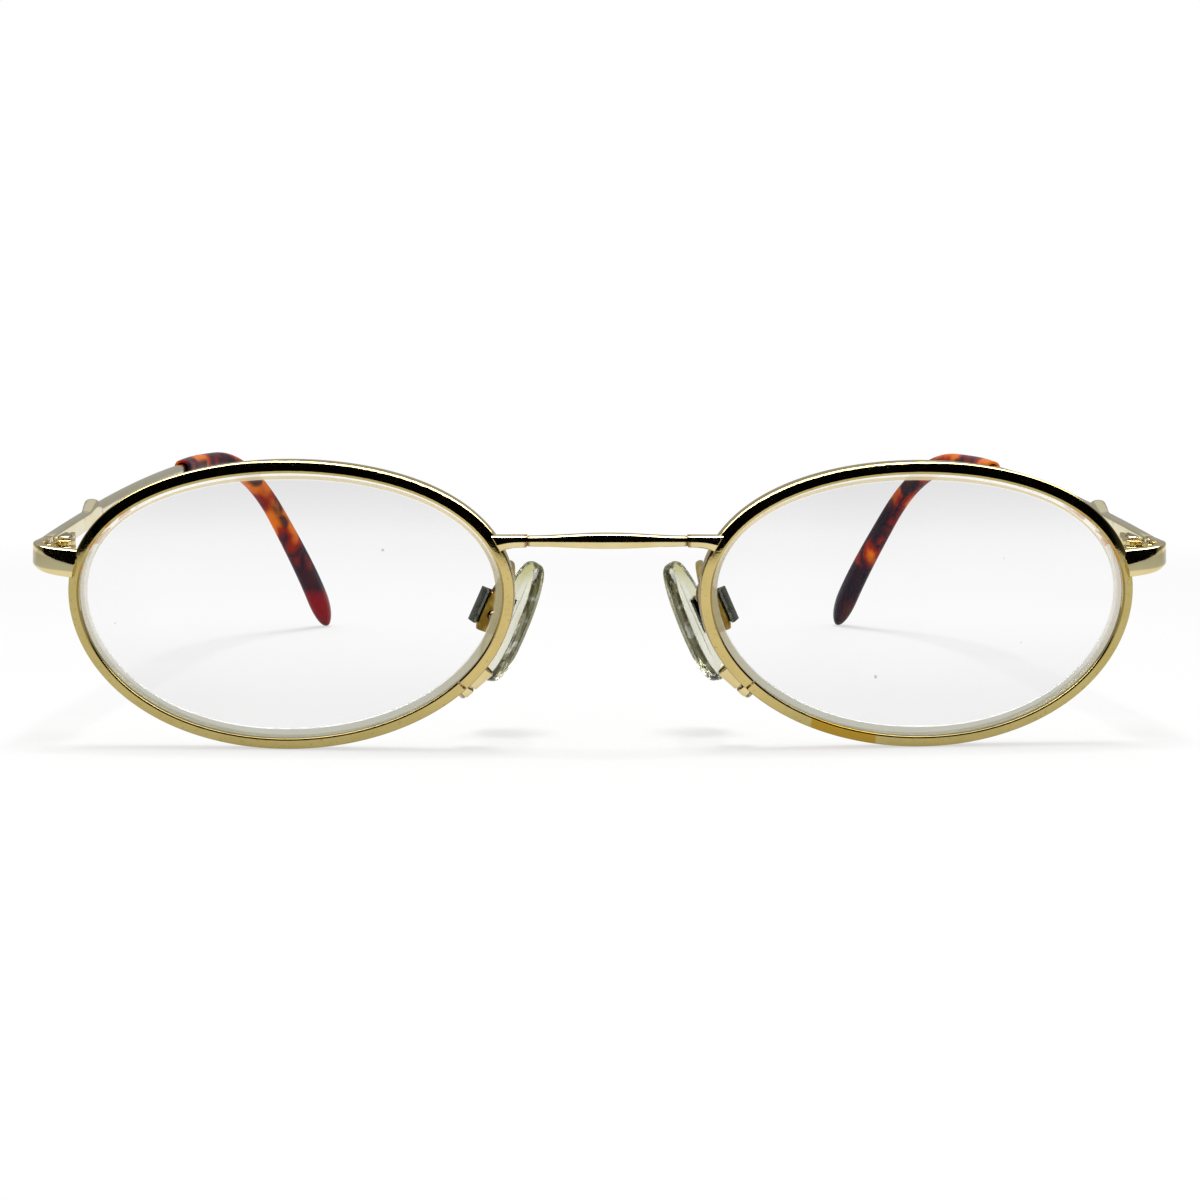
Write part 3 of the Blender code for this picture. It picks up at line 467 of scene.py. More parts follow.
def eyewire_gold():
    """The eyewires' plate: freckled with tarnish, wavy above, and worn in one patch. Painted shade darkens
    both edges of the strip's lower half, painted reflection brightens the gold towards the nose, and painted
    amber glints streak the front bevel above the end pieces.
    """
    gold = new_look("eyewire_gold")
    around = gold.along()[1]
    x, _, z = gold.axes(gold.place())
    drift = gold.patches(300.0, 4.0, 0.3, 0.7)
    freckles = gold.patches(2600.0, 3.0, 0.60, 0.72)
    haze = gold.noise(SOFT_HAZE)
    # Painted reflection: the gold is painted brighter towards the nose and duller towards the temple.
    nasal = gold.rise(x * x, *NASAL_SHEEN_SQUARE)
    colour = gold.mix(nasal * (1.0 - 0.35 * drift), RIM_GOLD_LESS_LIT, RIM_GOLD)
    colour = gold.mix(drift * 0.35 * (1.0 - nasal), colour, RIM_GOLD_PALE)
    # Painted shade: the front bevel and the outer edge of the strip are darkened in its lower half.
    bevel = gold.between(around, *BEVEL_BAND)
    outer = gold.between(around, *OUTER_BAND)
    low = gold.rise(z, *LOWER_EDGES_HEIGHT)
    colour = gold.mix((bevel * 0.7 + outer * 0.6) * low, colour, RIM_TARNISH_AND_SHADE)
    # Painted amber glints streak the front bevel above the end pieces.
    streaks = gold.patches(700.0, 2.0, 0.44, 0.54) * bevel * gold.rise(x * x, *GLINT_SQUARE)
    colour = gold.mix(streaks * gold.rise(z, *GLINT_HEIGHT) * 0.85, colour, AMBER_GLINT)
    colour = gold.mix(freckles * 0.35, colour, RIM_TARNISH_AND_SHADE)
    patch = gold.between(x, *WORN_ACROSS) * gold.rise(z, *WORN_HEIGHT)
    colour = gold.mix(patch * 0.85, colour, RIM_GOLD_WORN)
    ripple = gold.noise(2100.0, 0.0) * gold.rise(z, *RIPPLE_HEIGHT) * gold.rise(x * x, *RIPPLE_SQUARE)
    marks = gold.noise(FINE_MARKS, 2.0)
    relief = gold.bump(marks * 0.5 + haze + ripple * 6.0, 0.10, 0.00006)
    rough = 0.04 + 0.06 * gold.rise(haze, 0.45, 0.75) + freckles * low * 0.15
    return gold.surface(base_color=colour, metallic=1.0, roughness=rough, normal=relief)


def oval_along(angle):
    """How fast and which way the oval runs as its angle grows."""
    bends = 2.0 * OVAL_EGG * math.sin(2.0 * angle) + 3.0 * OVAL_POINT * math.sin(3.0 * angle)
    x = bends - RIM_HALF_WIDTH * math.sin(angle)
    z = RIM_HALF_HEIGHT * math.cos(angle) - 2.0 * OVAL_SAG * math.sin(2.0 * angle)
    return Vector((x, 0.0, z))


def oval_outward(angle):
    along = oval_along(angle).normalized()
    return Vector((along.z, 0.0, -along.x))


def oval(angle, inset=0.0, depth=0.0):
    """The point at an angle round the oval, moved inwards from the rim's outer edge and back."""
    shaping = OVAL_EGG * math.cos(2.0 * angle) + OVAL_POINT * math.cos(3.0 * angle)
    x = RIM_HALF_WIDTH * math.cos(angle) - shaping
    z = RIM_HALF_HEIGHT * math.sin(angle) + OVAL_SAG * math.cos(2.0 * angle)
    return Vector((x, depth, z)) - oval_outward(angle) * inset


wrap = Matrix.Rotation(FACE_WRAP, 4, "Z") @ Matrix.Rotation(OVAL_ROLL, 4, "Y")
lowest = min((wrap @ oval(math.radians(6.0 * step))).z for step in range(60))
EYE = Matrix.Translation((RIM_CENTRE_X, 0.0, -lowest)) @ wrap


def eyewire_section(angle):
    """The strip's section. Its front edge is polished rounder above, on the way to the nose."""
    half = RIM_DEPTH / 2.0
    groove = GROOVE_WIDTH / 2.0
    worn = ease((0.17 - math.cos(angle)) / 0.25) * ease((math.sin(angle) - 0.50) / 0.25)
    lip = RIM_WALL + RIM_LIP * ease(math.sin(angle) * 1.6)
    corners = [
        (0.0, RIM_SLOPE - half, RIM_FRONT_ROUND + RIM_WORN_ROUND * worn),
        (0.0, half, RIM_BACK_ROUND),
        (RIM_WALL, half, RIM_INNER_ROUND),
        (RIM_WALL, groove, GROOVE_EDGE_ROUND),
        (RIM_WALL - GROOVE_DEPTH, 0.0, GROOVE_FLOOR_ROUND),
        (RIM_WALL, -groove, GROOVE_EDGE_ROUND),
        (lip, RIM_INNER_BEVEL * 0.40 - half, RIM_LIP_ROUND),
        (lip - RIM_INNER_BEVEL, -half, RIM_BEVEL_ROUND),
    ]
    return rounded(corners)


def eyewire():
    half_gap = RIM_SPLIT / 2.0 / oval_along(RIM_SPLIT_ANGLE).length
    angles = spaced(RIM_SPLIT_ANGLE + half_gap, RIM_SPLIT_ANGLE + 2.0 * math.pi - half_gap, RIM_STEPS)
    rings = [[oval(angle, *point) for point in eyewire_section(angle)] for angle in angles]
    return skin(rings, angles)


pair("eyewire", eyewire(), eyewire_gold(), "front", "rim", "gold_plate", EYE)

# The lenses: clear, a little domed in front, with a V bevel that sits in the groove and a ground edge that
# shows as a pale grey band inside the rim, with painted reflections and a painted glow, and one painted
# bright line where the polish begins. Painted shade darkens the clear glass towards its top and bottom.
LENS_FIT = 0.00004
LENS_EDGE = 0.0019
LENS_CENTRE = 0.0021
LENS_DOME = 0.0015
LENS_BEVEL = 0.0007
CHAMFER = 0.00062
CHAMFER_ABOVE = 0.00026
CHAMFER_TEMPORAL = 0.00050
CHAMFER_NASAL = 0.00030
CHAMFER_HEIGHT = 0.00008
POLISH_LINE = 0.00012
LENS_STEPS = 180
LENS_FRONT_RINGS = 14
LENS_BACK_RINGS = 12
SHADE_ABOVE = (0.0190, 0.0330)
SHADE_BELOW = (0.0160, 0.0040)
GLASS_MIRRORS = 0.0337
NASAL_TURN = (0.36, 0.46, 0.56, 0.68)
UPPER_TURN = (0.02, 0.14, 0.38, 0.50)
GLINT_TURN = (0.045, 0.07, 0.12, 0.15)
LOWER_TURN = (0.50, 0.60, 0.90, 0.99)
CLEAR_FINISH, GROUND_FINISH, POLISHED_FINISH = 0, 1, 2
SHADE_GREY = (0.012, 0.016, 0.012)
GROUND_GREY = (0.44, 0.44, 0.36)
GROUND_GOLD_REFLECTED = (0.39, 0.35, 0.20)
GROUND_BEIGE_REFLECTED = (0.74, 0.62, 0.37)
GROUND_PALE_LIT = (0.70, 0.67, 0.60)
GROUND_HIGHLIGHT = (1.0, 1.0, 0.97)
GROUND_GRAIN = (0.45, 0.42, 0.36)
DUST_GREY = (0.10, 0.09, 0.09)


def lens():
    """The lens, with its faces sorted into clear, ground and polished-line finishes."""
    shoulder = RIM_WALL + LENS_FIT
    apex = shoulder - GROOVE_DEPTH + LENS_FIT
    front = -GROOVE_WIDTH / 2.0
    back = front + LENS_EDGE
    angles = [2.0 * math.pi * step / LENS_STEPS for step in range(LENS_STEPS)]

    def ring(inset, depth, share=1.0):
        points = [oval(angle, inset(angle) if callable(inset) else inset, depth) for angle in angles]
        return [Vector((point.x * share, point.y, point.z * share)) for point in points]

    def chamfer(angle):
        across, up = math.cos(angle), math.sin(angle)
        beside = CHAMFER_NASAL * min(across, 0.0) ** 2 - CHAMFER_TEMPORAL * max(across, 0.0)
        return shoulder + CHAMFER + CHAMFER_ABOVE * up * (1.0 + 0.45 * up) + beside

    def polished(angle):
        return chamfer(angle) + POLISH_LINE

    def dome(share):
        return front - LENS_DOME * (1.0 - share**2)

    rings = [ring(shoulder, dome(share), share) for share in spaced(0.0, 1.0, LENS_FRONT_RINGS)]
    finishes = [CLEAR_FINISH] * len(rings)
    bevel = ((shoulder, -LENS_BEVEL / 2.0), (apex, 0.0), (shoulder, LENS_BEVEL / 2.0))
    ground = (*bevel, (shoulder, back - CHAMFER), (chamfer, back - CHAMFER_HEIGHT))
    rings += [ring(inset, depth) for inset, depth in ground] + [ring(polished, back)]
    finishes += [GROUND_FINISH] * len(ground) + [POLISHED_FINISH]
    for share in spaced(1.0, 0.0, LENS_BACK_RINGS)[1:]:
        rings.append(ring(polished, dome(share) + blend(LENS_CENTRE, LENS_EDGE, share**2), share))
        finishes.append(CLEAR_FINISH)
    rings[0] = rings[0][:1]
    rings[-1] = rings[-1][:1]
    return skin(rings), [kind for kind in finishes[1:] for step in range(LENS_STEPS)]


def clear_lens():
    """Clear polished glass, with painted shade in a thin grey veil that grows towards the top and bottom,
    dust, and gloss.
    """
    glass = new_look("clear_lens")
    z = glass.axes(glass.place())[2]
    # Painted shade: the glass darkens towards its top and bottom.
    top = glass.rise(z, *SHADE_ABOVE)
    low = glass.rise(z, *SHADE_BELOW)
    dust = glass.patches(380.0, 1.0, 0.800, 0.812)
    smear = glass.patches(60.0, 3.0, 0.45, 0.7)
    glass.surface(
        base_color=glass.mix(dust, SHADE_GREY, DUST_GREY),
        roughness=0.5,
        alpha=0.010 + 0.13 * top + 0.055 * low + 0.4 * dust + 0.008 * smear,
    )
    haze = Wire(glass, glass.tree.nodes["Principled BSDF"].outputs[0])
    gloss = glass.node("ShaderNodeBsdfGlossy", None, {"Color": WHITE, "Roughness": 0.03})
    facing = glass.node("ShaderNodeLayerWeight", None, {"Blend": 0.5}, "Facing")
    edge = GLASS_MIRRORS + (1.0 - GLASS_MIRRORS) * facing**5.0
    mixed = glass.node("ShaderNodeMixShader", None, {0: edge**1.8, 1: haze, 2: gloss})
    return glass.output("Material", mixed)


def ground_edge():
    """Finely ground glass, grey below, with the eyewire's gold painted on as reflection above and by the
    nose, painted paler towards the temple, a painted white highlight line above, and a painted glow.
    """
    edge = new_look("ground_edge")
    ring, turn = edge.along()
    grain = edge.noise(2500.0, 2.0)
    nasal = edge.between(turn, *NASAL_TURN)
    upper = edge.between(turn, *UPPER_TURN)
    temporal = edge.rise(turn, 0.10, 0.02) + edge.rise(turn, 0.86, 0.97)
    # Painted reflection and light: gold by the nose, beige above, paler at the temple, and a white highlight
    # line above.
    colour = edge.mix(nasal, GROUND_GREY, GROUND_GOLD_REFLECTED)
    colour = edge.mix(upper, colour, GROUND_BEIGE_REFLECTED)
    colour = edge.mix(temporal, colour, GROUND_PALE_LIT)
    colour = edge.mix(upper * edge.rise(ring, 18.62, 18.54), colour, GROUND_HIGHLIGHT)
    # Painted amber glints on the ground edge above the end pieces.
    spots = edge.patches(500.0, 2.0, 0.47, 0.53) * edge.rise(ring, 18.55, 18.35)
    overlay = spots * edge.between(turn, *GLINT_TURN)
    colour = edge.mix(overlay * 0.6, colour, AMBER_GLINT)
    colour = edge.mix(grain * 0.2, colour, GROUND_GRAIN)
    return edge.surface(
        base_color=colour,
        # Painted light: the edge's colour glows, standing in for the table's light carried inside the glass.
        emission_color=colour,
        emission_strength=0.32,
        roughness=0.5,
        specular_ior_level=0.0,
        alpha=0.80 + 0.1 * grain,
    )


def polished_line():
    """The sharp line where the grinding stops, painted white as a highlight, strongest along the lower half.
    """
    line = new_look("polished_line")
    turn = line.along()[1]
    breaks = line.patches(500.0, 2.0, 0.3, 0.6)
    low = line.between(turn, *LOWER_TURN)
    # Painted highlight: a white line, most opaque along the lower half.
    return line.surface(base_color=WHITE, roughness=0.3, alpha=0.10 + low * (0.6 + 0.3 * breaks))


shape, kinds = lens()
lens_finishes = [clear_lens(), ground_edge(), polished_line()]
for piece in pair("clear_lens", shape, lens_finishes, "front", "lens", "lens_glass", EYE):
    piece.data.polygons.foreach_set("material_index", kinds)

# The closing blocks: two small gold blocks soldered behind each eyewire on either side of its split. A
# steel screw draws them together, and its end glints in the upper block's dark bore.
SOLDER_GAP = 0.00025
SEAT_GAP = 0.00015
TURN_GAP = 0.0002
LOCK_DEPTH = 0.0015
LOCK_INSIDE = 0.0005
LOCK_OUTSIDE = 0.0010
LOCK_UPPER_LENGTH = 0.0027
LOCK_LOWER_LENGTH = 0.0011
LOCK_SCREW_RADIUS = 0.00032
LOCK_HEAD_RADIUS = 0.0006
LOCK_HEAD_HEIGHT = 0.0003
LOCK_SOFT_EDGE = 0.00018
LOCK_RIM_ROUND = 0.0002
LOCK_OUTER_ROUND = 0.0006
LOCK_BACK_ROUND = 0.0003
LOCK_HEAD_STAGES = ((1.0, 0.0), (1.0, 0.6), (0.8, 0.95), (0.0, 1.0))
TURN_STEPS = 28
PART_GOLD = (0.74, 0.62, 0.33)
STEEL_BRIGHT = (0.58, 0.50, 0.34)
STEEL_DULL = (0.20, 0.12, 0.05)


def soft_ends(low, high, edge):
    """Heights along a block, each with how far its outline draws in to soften the ends."""
    return [
        (low, edge),
        (low + edge * 0.3, edge * 0.3),
        (low + edge, 0.0),
        (high - edge, 0.0),
        (high - edge * 0.3, edge * 0.3),
        (high, edge),
    ]


def drawn_in(outline, middle, inset):
    """The outline with every point moved towards its middle."""
    return [point - (point - middle).normalized() * inset for point in outline]


def raised(outline, height):
    """A flat outline's points at a height."""
    return [Vector((x, y, height)) for x, y in outline]


def drilled(outline, middle, low, high, edge, radius):
    """A block drawn up from its outline, with softened ends and a round bore right through."""
    levels = soft_ends(low, high, edge)
    rings = [raised(drawn_in(outline, middle, inset), height) for height, inset in levels]
    bore = [middle + (point - middle).normalized() * radius for point in outline]
    return skin([*rings, raised(bore, high), raised(bore, low)], close=True)


def turned(profile, axis="Z"):
    """A solid turned about an axis from (radius, height) points that run from end to end."""
    rings = []
    for radius, height in profile:
        turns = [2.0 * math.pi * step / TURN_STEPS for step in range(TURN_STEPS if radius else 1)]
        ring = [(radius * math.cos(turn), radius * math.sin(turn)) for turn in turns]
        rings.append([Vector((a, b, height) if axis == "Z" else (height, a, b)) for a, b in ring])
    return skin(rings)


def head_profile(radius, start, height, stages):
    """A head's profile, each stage a share of its radius and of its height."""
    return [(radius * wide, start + height * up) for wide, up in stages]


def plated_steel(name, gloss, bright, dull):
    """Plated steel with fine brush marks and duller patches."""
    steel = new_look(name)
    wear = steel.patches(1400.0, 4.0, 0.42, 0.66)
    marks = steel.noise(6000.0, 2.0)
    return steel.surface(
        base_color=steel.mix(wear * 0.7, bright, dull),
        metallic=1.0,
        roughness=gloss + wear * 0.16,
        normal=steel.bump(marks, 0.06, 0.00003),
    )


part_gold = gold_plate("soldered_part_gold", PART_GOLD, RIM_GOLD, 0.08)
screw_steel = plated_steel("screw_steel", 0.16, STEEL_BRIGHT, STEEL_DULL)
out = oval_outward(RIM_SPLIT_ANGLE)
back = Vector((0.0, 1.0, 0.0))
lock_turn = Matrix((out, back, out.cross(back))).transposed().to_4x4()
LOCK = EYE @ Matrix.Translation(oval(RIM_SPLIT_ANGLE)) @ lock_turn
lock_front = RIM_DEPTH / 2.0 + SOLDER_GAP
lock_corners = [
    (-LOCK_INSIDE, lock_front, LOCK_RIM_ROUND),
    (LOCK_OUTSIDE, lock_front, LOCK_OUTER_ROUND),
    (LOCK_OUTSIDE, lock_front + LOCK_DEPTH, LOCK_OUTER_ROUND),
    (-LOCK_INSIDE, lock_front + LOCK_DEPTH, LOCK_BACK_ROUND),
]
lock_outline = rounded(lock_corners)
lock_middle = Vector(((LOCK_OUTSIDE - LOCK_INSIDE) / 2.0, lock_front + LOCK_DEPTH / 2.0))
head = RIM_SPLIT / 2.0 + LOCK_LOWER_LENGTH + SEAT_GAP
lock_screw_profile = [
    (0, -LOCK_UPPER_LENGTH * 0.93),
    (LOCK_SCREW_RADIUS * 0.7, -LOCK_UPPER_LENGTH * 0.93),
    (LOCK_SCREW_RADIUS, -LOCK_UPPER_LENGTH * 0.88),
    (LOCK_SCREW_RADIUS, head),
    *head_profile(LOCK_HEAD_RADIUS, head, LOCK_HEAD_HEIGHT, LOCK_HEAD_STAGES),
]
lock_spans = (
    ("upper", -RIM_SPLIT / 2.0 - LOCK_UPPER_LENGTH, -RIM_SPLIT / 2.0),
    ("lower", RIM_SPLIT / 2.0, RIM_SPLIT / 2.0 + LOCK_LOWER_LENGTH),
)
for level, low, high in lock_spans:
    shape = drilled(lock_outline, lock_middle, low, high, LOCK_SOFT_EDGE, LOCK_SCREW_RADIUS + SEAT_GAP)
    pair("closing_block_" + level, shape, part_gold, "front", "rim_lock_" + level, "gold_plate", LOCK)
LOCK_SCREW = LOCK @ Matrix.Translation(lock_middle.to_3d())
shape = turned(lock_screw_profile)
pair("closing_screw", shape, screw_steel, "front", "rim_lock_screw", "steel", LOCK_SCREW)

# The bridge: a round-backed gold bar that swells in the middle and bows forward, soldered at both ends to
# short stubs, which flare down into the eyewires. Its solder and polish leave it faintly wavy.
BRIDGE_HEIGHT_ON_RIM = 0.02405
STUB_END_X = 0.0088
STUB_END_HEIGHT = 0.0014
STUB_ROOT_HEIGHT = 0.0027
STUB_ROOT_X = RIM_CENTRE_X - RIM_HALF_WIDTH * 0.85
STUB_DEPTH = 0.0016
BRIDGE_END_HEIGHT = 0.00118
BRIDGE_MID_HEIGHT = 0.0018
BRIDGE_DEPTH = 0.0014
BRIDGE_BOW = 0.0012
BRIDGE_RISE = 0.0002
BRIDGE_ROUND = 0.84
BRIDGE_TOP_ROUND = 0.45
BRIDGE_EDGE_ROUND = 0.3
BRIDGE_EDGE_LOW = 0.15
BRIDGE_END_DEPTH = 0.9
BRIDGE_END_SHRINK = 0.12
BRIDGE_END_SHARE = 0.015
BRIDGE_UPPER_TILT = math.radians(13.5)
BRIDGE_LOWER_TILT = math.radians(9.0)
SOLDER_INSET = RIM_WALL * 0.3
SOLDER_SEARCH = 400
SEAM_REACH = (-0.0004, -0.0001, 0.0001, 0.0005)
SOLDER_BROWN = (0.16, 0.07, 0.02)
BRIDGE_MIDDLE_Y = -math.sin(FACE_WRAP) * (RIM_CENTRE_X - STUB_END_X)


def bridge_ring(x, height, depth, middle, lift):
    """A ring of the bar or a stub: round behind, with a blunt front edge a little below its middle."""
    half_depth = depth / 2.0
    half_height = height / 2.0
    reach = min(half_depth, half_height) * BRIDGE_ROUND
    upper = half_height * (1.0 + BRIDGE_EDGE_LOW) * math.tan(BRIDGE_UPPER_TILT)
    corners = [
        (half_height * math.tan(BRIDGE_LOWER_TILT) - half_depth, -half_height, reach),
        (half_depth, -half_height, reach),
        (half_depth, half_height, reach),
        (upper - half_depth, half_height, reach * BRIDGE_TOP_ROUND),
        (-half_depth, -half_height * BRIDGE_EDGE_LOW, reach * BRIDGE_EDGE_ROUND),
    ]
    level = BRIDGE_HEIGHT_ON_RIM + lift
    return [Vector((x, middle + point.x, level + point.y)) for point in rounded(corners, 6)]


def bridge_bar():
    reach = STUB_END_X + SOLDER_GAP * 0.2
    rings = []
    for share in spaced(-1.0, 1.0, 72):
        swell = math.cos(math.pi / 2.0 * share) ** 2
        full = max(1.0 - max(abs(share) - 1.0 + BRIDGE_END_SHARE, 0.0) / BRIDGE_END_SHARE, 0.0)
        end = math.sqrt(full) * BRIDGE_END_SHRINK + 1.0 - BRIDGE_END_SHRINK
        height = blend(BRIDGE_END_HEIGHT, BRIDGE_MID_HEIGHT, swell) * end
        depth = blend(BRIDGE_END_DEPTH, 1.0, swell) * BRIDGE_DEPTH * end
        middle = BRIDGE_MIDDLE_Y - BRIDGE_BOW * swell
        rings.append(bridge_ring(reach * share, height, depth, middle, BRIDGE_RISE * swell))
    return skin(rings)


def rim_x(height, nasal):
    """How far out the eyewire's upper half lies at a height, on its nasal or its temporal side."""
    start = math.pi / 2.0 if nasal else 0.0
    reach = [EYE @ oval(angle, SOLDER_INSET) for angle in spaced(start, start + math.pi / 2.0, SOLDER_SEARCH)]
    return min(reach, key=lambda point: abs(point.z - height)).x


def end_in_rim(ring, limits, nasal):
    """Draws a ring's points back to the eyewire's wall. limits keeps where the wall is at each height."""
    for point in ring:
        level = round(point.z, 5)
        if level not in limits:
            limits[level] = rim_x(level, nasal)
        point.x = min(point.x, limits[level]) if nasal else max(point.x, limits[level])


def bridge_stub():
    """A stub that ends inside the eyewire's wall."""
    rings = []
    limits = {}
    for share in spaced(0.0, 1.0, 30):
        x = blend(STUB_END_X, STUB_ROOT_X, share)
        end = 1.0 - 0.1 * max(1.0 - share * 20.0, 0.0) ** 2
        height = blend(STUB_END_HEIGHT, STUB_ROOT_HEIGHT, ease(share) ** 2) * end
        ring = bridge_ring(x, height, STUB_DEPTH * end, BRIDGE_MIDDLE_Y, (STUB_END_HEIGHT - height) / 2.0)
        end_in_rim(ring, limits, True)
        rings.append(ring)
    return skin(rings)


def solder_seam(gold):
    """1 where the bar meets a stub."""
    x = gold.axes(gold.place())[0]
    return gold.between(x * x, *((STUB_END_X + reach) ** 2 for reach in SEAM_REACH))


bridge_gold = gold_plate("bridge_gold", PART_GOLD, RIM_GOLD, 0.05, 1.6, solder_seam, SOLDER_BROWN)
fit("bridge_bar_bowed", bridge_bar(), bridge_gold, "front", "bridge_bar", "gold_plate")
pair("bridge_stub_flared", bridge_stub(), bridge_gold, "front", "bridge_stub", "gold_plate")

# The end pieces: gold lugs soldered to the eyewires, which run outwards, turn a round corner and run back
# to butt on the temples. In front each has a tall upper facet and a lower one that widens to the rim.
TEMPLE_PAST_RIM = 0.00376
TEMPLE_OUTER_X = RIM_CENTRE_X + RIM_HALF_WIDTH + TEMPLE_PAST_RIM
LUG_THICKNESS = 0.0012
LUG_HEIGHT = 0.0030
LUG_ROOT_HEIGHT = 0.0034
LUG_FRONT_Y = 0.0006
LUG_ROOT_X = RIM_CENTRE_X + RIM_HALF_WIDTH * 0.86
LUG_ROOT_Z = 0.0207
LUG_CORNER_RADIUS = 0.0033
LUG_UPPER_TILT = math.radians(14.5)
LUG_MIDDLE_TILT = math.radians(4.5)
LUG_END_TILT = math.radians(6.5)
LUG_UPPER_FACET = 0.0006
LUG_UPPER_ROOT = 0.0019
LUG_LOWER_FACET = 0.0006
LUG_ROOT_FACET = 0.0010
LUG_SOFT_EDGE = 0.00012
LUG_TOP_ROUND = 0.00022
LUG_FACET_ROUND = 0.00030
LUG_FOOT_ROUND = 0.00020
LUG_BACK_ROUND = 0.00015
LUG_SHADED_OLIVE = (0.33, 0.31, 0.19)
BUTT_Y = 0.0073
BUTT_Z = 0.0220
BLADE_HALF_HEIGHT = 0.00120


def lug_section(height, upper, facet, tilt, draw=0.0):
    """Front of the lug from the top: a facet tilted up, one nearly upright, and one that faces down."""
    half = height / 2.0 - draw
    middle = (height - upper - facet) * math.tan(LUG_MIDDLE_TILT)
    corners = [
        (middle + upper * math.tan(tilt) + draw, half, LUG_TOP_ROUND),
        (middle + draw, half - upper, LUG_FACET_ROUND),
        (draw, facet - half, LUG_FACET_ROUND),
        (LUG_THICKNESS * 0.4, -half, LUG_FOOT_ROUND),
        (LUG_THICKNESS - draw, -half, LUG_BACK_ROUND),
        (LUG_THICKNESS - draw, half, LUG_BACK_ROUND),
    ]
    return rounded(corners)


def end_piece():
    corner_x = TEMPLE_OUTER_X - LUG_CORNER_RADIUS
    corner_y = LUG_FRONT_Y + LUG_CORNER_RADIUS
    end_z = BUTT_Z + BLADE_HALF_HEIGHT - LUG_HEIGHT / 2.0
    stations = [(x, LUG_FRONT_Y, 0.0, 0.0) for x in spaced(LUG_ROOT_X, corner_x, 24)[:-1]]
    for turn in spaced(0.0, math.pi / 2.0, 16):
        x = corner_x + LUG_CORNER_RADIUS * math.sin(turn)
        stations.append((x, corner_y - LUG_CORNER_RADIUS * math.cos(turn), turn, 0.0))
    for y, inset in soft_ends(corner_y, BUTT_Y, LUG_SOFT_EDGE)[3:]:
        stations.append((TEMPLE_OUTER_X, y, math.pi / 2.0, inset))
    limits = {}
    rings = []
    for x, y, turn, draw in stations:
        climb = (x - LUG_ROOT_X) / (TEMPLE_OUTER_X - LUG_ROOT_X)
        middle = Vector((x, y, blend(LUG_ROOT_Z, end_z, climb)))
        inwards = Vector((-math.sin(turn), math.cos(turn), 0.0))
        upper = blend(LUG_UPPER_ROOT, LUG_UPPER_FACET, climb)
        facet = blend(LUG_ROOT_FACET, LUG_LOWER_FACET, climb)
        tilt = blend(LUG_UPPER_TILT, LUG_END_TILT, ease((climb - 0.40) / 0.45))
        section = lug_section(blend(LUG_ROOT_HEIGHT, LUG_HEIGHT, climb), upper, facet, tilt, draw)
        ring = [middle + inwards * point.x + Vector((0.0, 0.0, point.y)) for point in section]
        if turn == 0.0:
            end_in_rim(ring, limits, False)
        rings.append(ring)
    return skin(rings)


def middle_facet(gold):
    """1 on the lug's middle facet, painted a greyer olive as a painted reflection of the dimmer table."""
    around = gold.along()[1]
    return gold.between(around, 0.20, 0.29, 0.38, 0.45)


# The lug's middle facet is painted greyer olive, a painted reflection.
lug_gold = gold_plate("lug_gold", PART_GOLD, RIM_GOLD, 0.05, 1.0, middle_facet, LUG_SHADED_OLIVE)
pair("end_piece_faceted", end_piece(), lug_gold, "front", "end_piece", "gold_plate")

# The hinges: two gold knuckles soldered to each end piece and one to each temple, each with a flat leaf. A
# slotted steel screw goes down through all three, so the temple turns on it.
BARREL_HEIGHT = 0.0023
KNUCKLE_RADIUS = 0.00105
LEAF_THICKNESS = 0.0005
FRONT_LEAF_LENGTH = 0.0025
TEMPLE_LEAF_LENGTH = 0.0042
HINGE_SCREW_RADIUS = 0.00036
HINGE_HEAD_RADIUS = 0.00075
HINGE_HEAD_HEIGHT = 0.00035
HINGE_HEAD_STAGES = ((1.0, 0.0), (1.0, 0.5), (0.92, 0.8), (0.75, 1.0), (0.0, 1.0))
SCREW_SLOT = 0.00022
KNUCKLE_SOFT_EDGE = 0.00006
HINGE = Matrix.Translation(HINGE_IN_FRONT)


def knuckle(length, way):
    """A knuckle with its leaf, drawn up the barrel's height. way is -1 forwards or 1 back."""
    inner = KNUCKLE_RADIUS - LEAF_THICKNESS
    meet = math.acos(inner / KNUCKLE_RADIUS)
    reach = KNUCKLE_RADIUS + TURN_GAP + length
    outline = [Vector((KNUCKLE_RADIUS, way * reach)), Vector((KNUCKLE_RADIUS, 0.0))]
    for turn in spaced(0.0, 2.0 * math.pi - meet, 32)[1:]:
        outline.append(Vector((math.cos(turn), -way * math.sin(turn))) * KNUCKLE_RADIUS)
    outline.append(Vector((inner, way * reach)))
    half = BARREL_HEIGHT / 2.0
    return skin([raised(outline, -half), raised(outline, half)])


def block(low, high):
    """A plain box between two corners, for cutting with."""
    outline = [(low[0], low[1]), (high[0], low[1]), (high[0], high[1]), (low[0], high[1])]
    return skin([raised(outline, low[2]), raised(outline, high[2])])


def rod(radius, low, high, axis="Z"):
    """A plain round rod, for cutting with."""
    return turned([(0, low), (radius, low), (radius, high), (0, high)], axis)


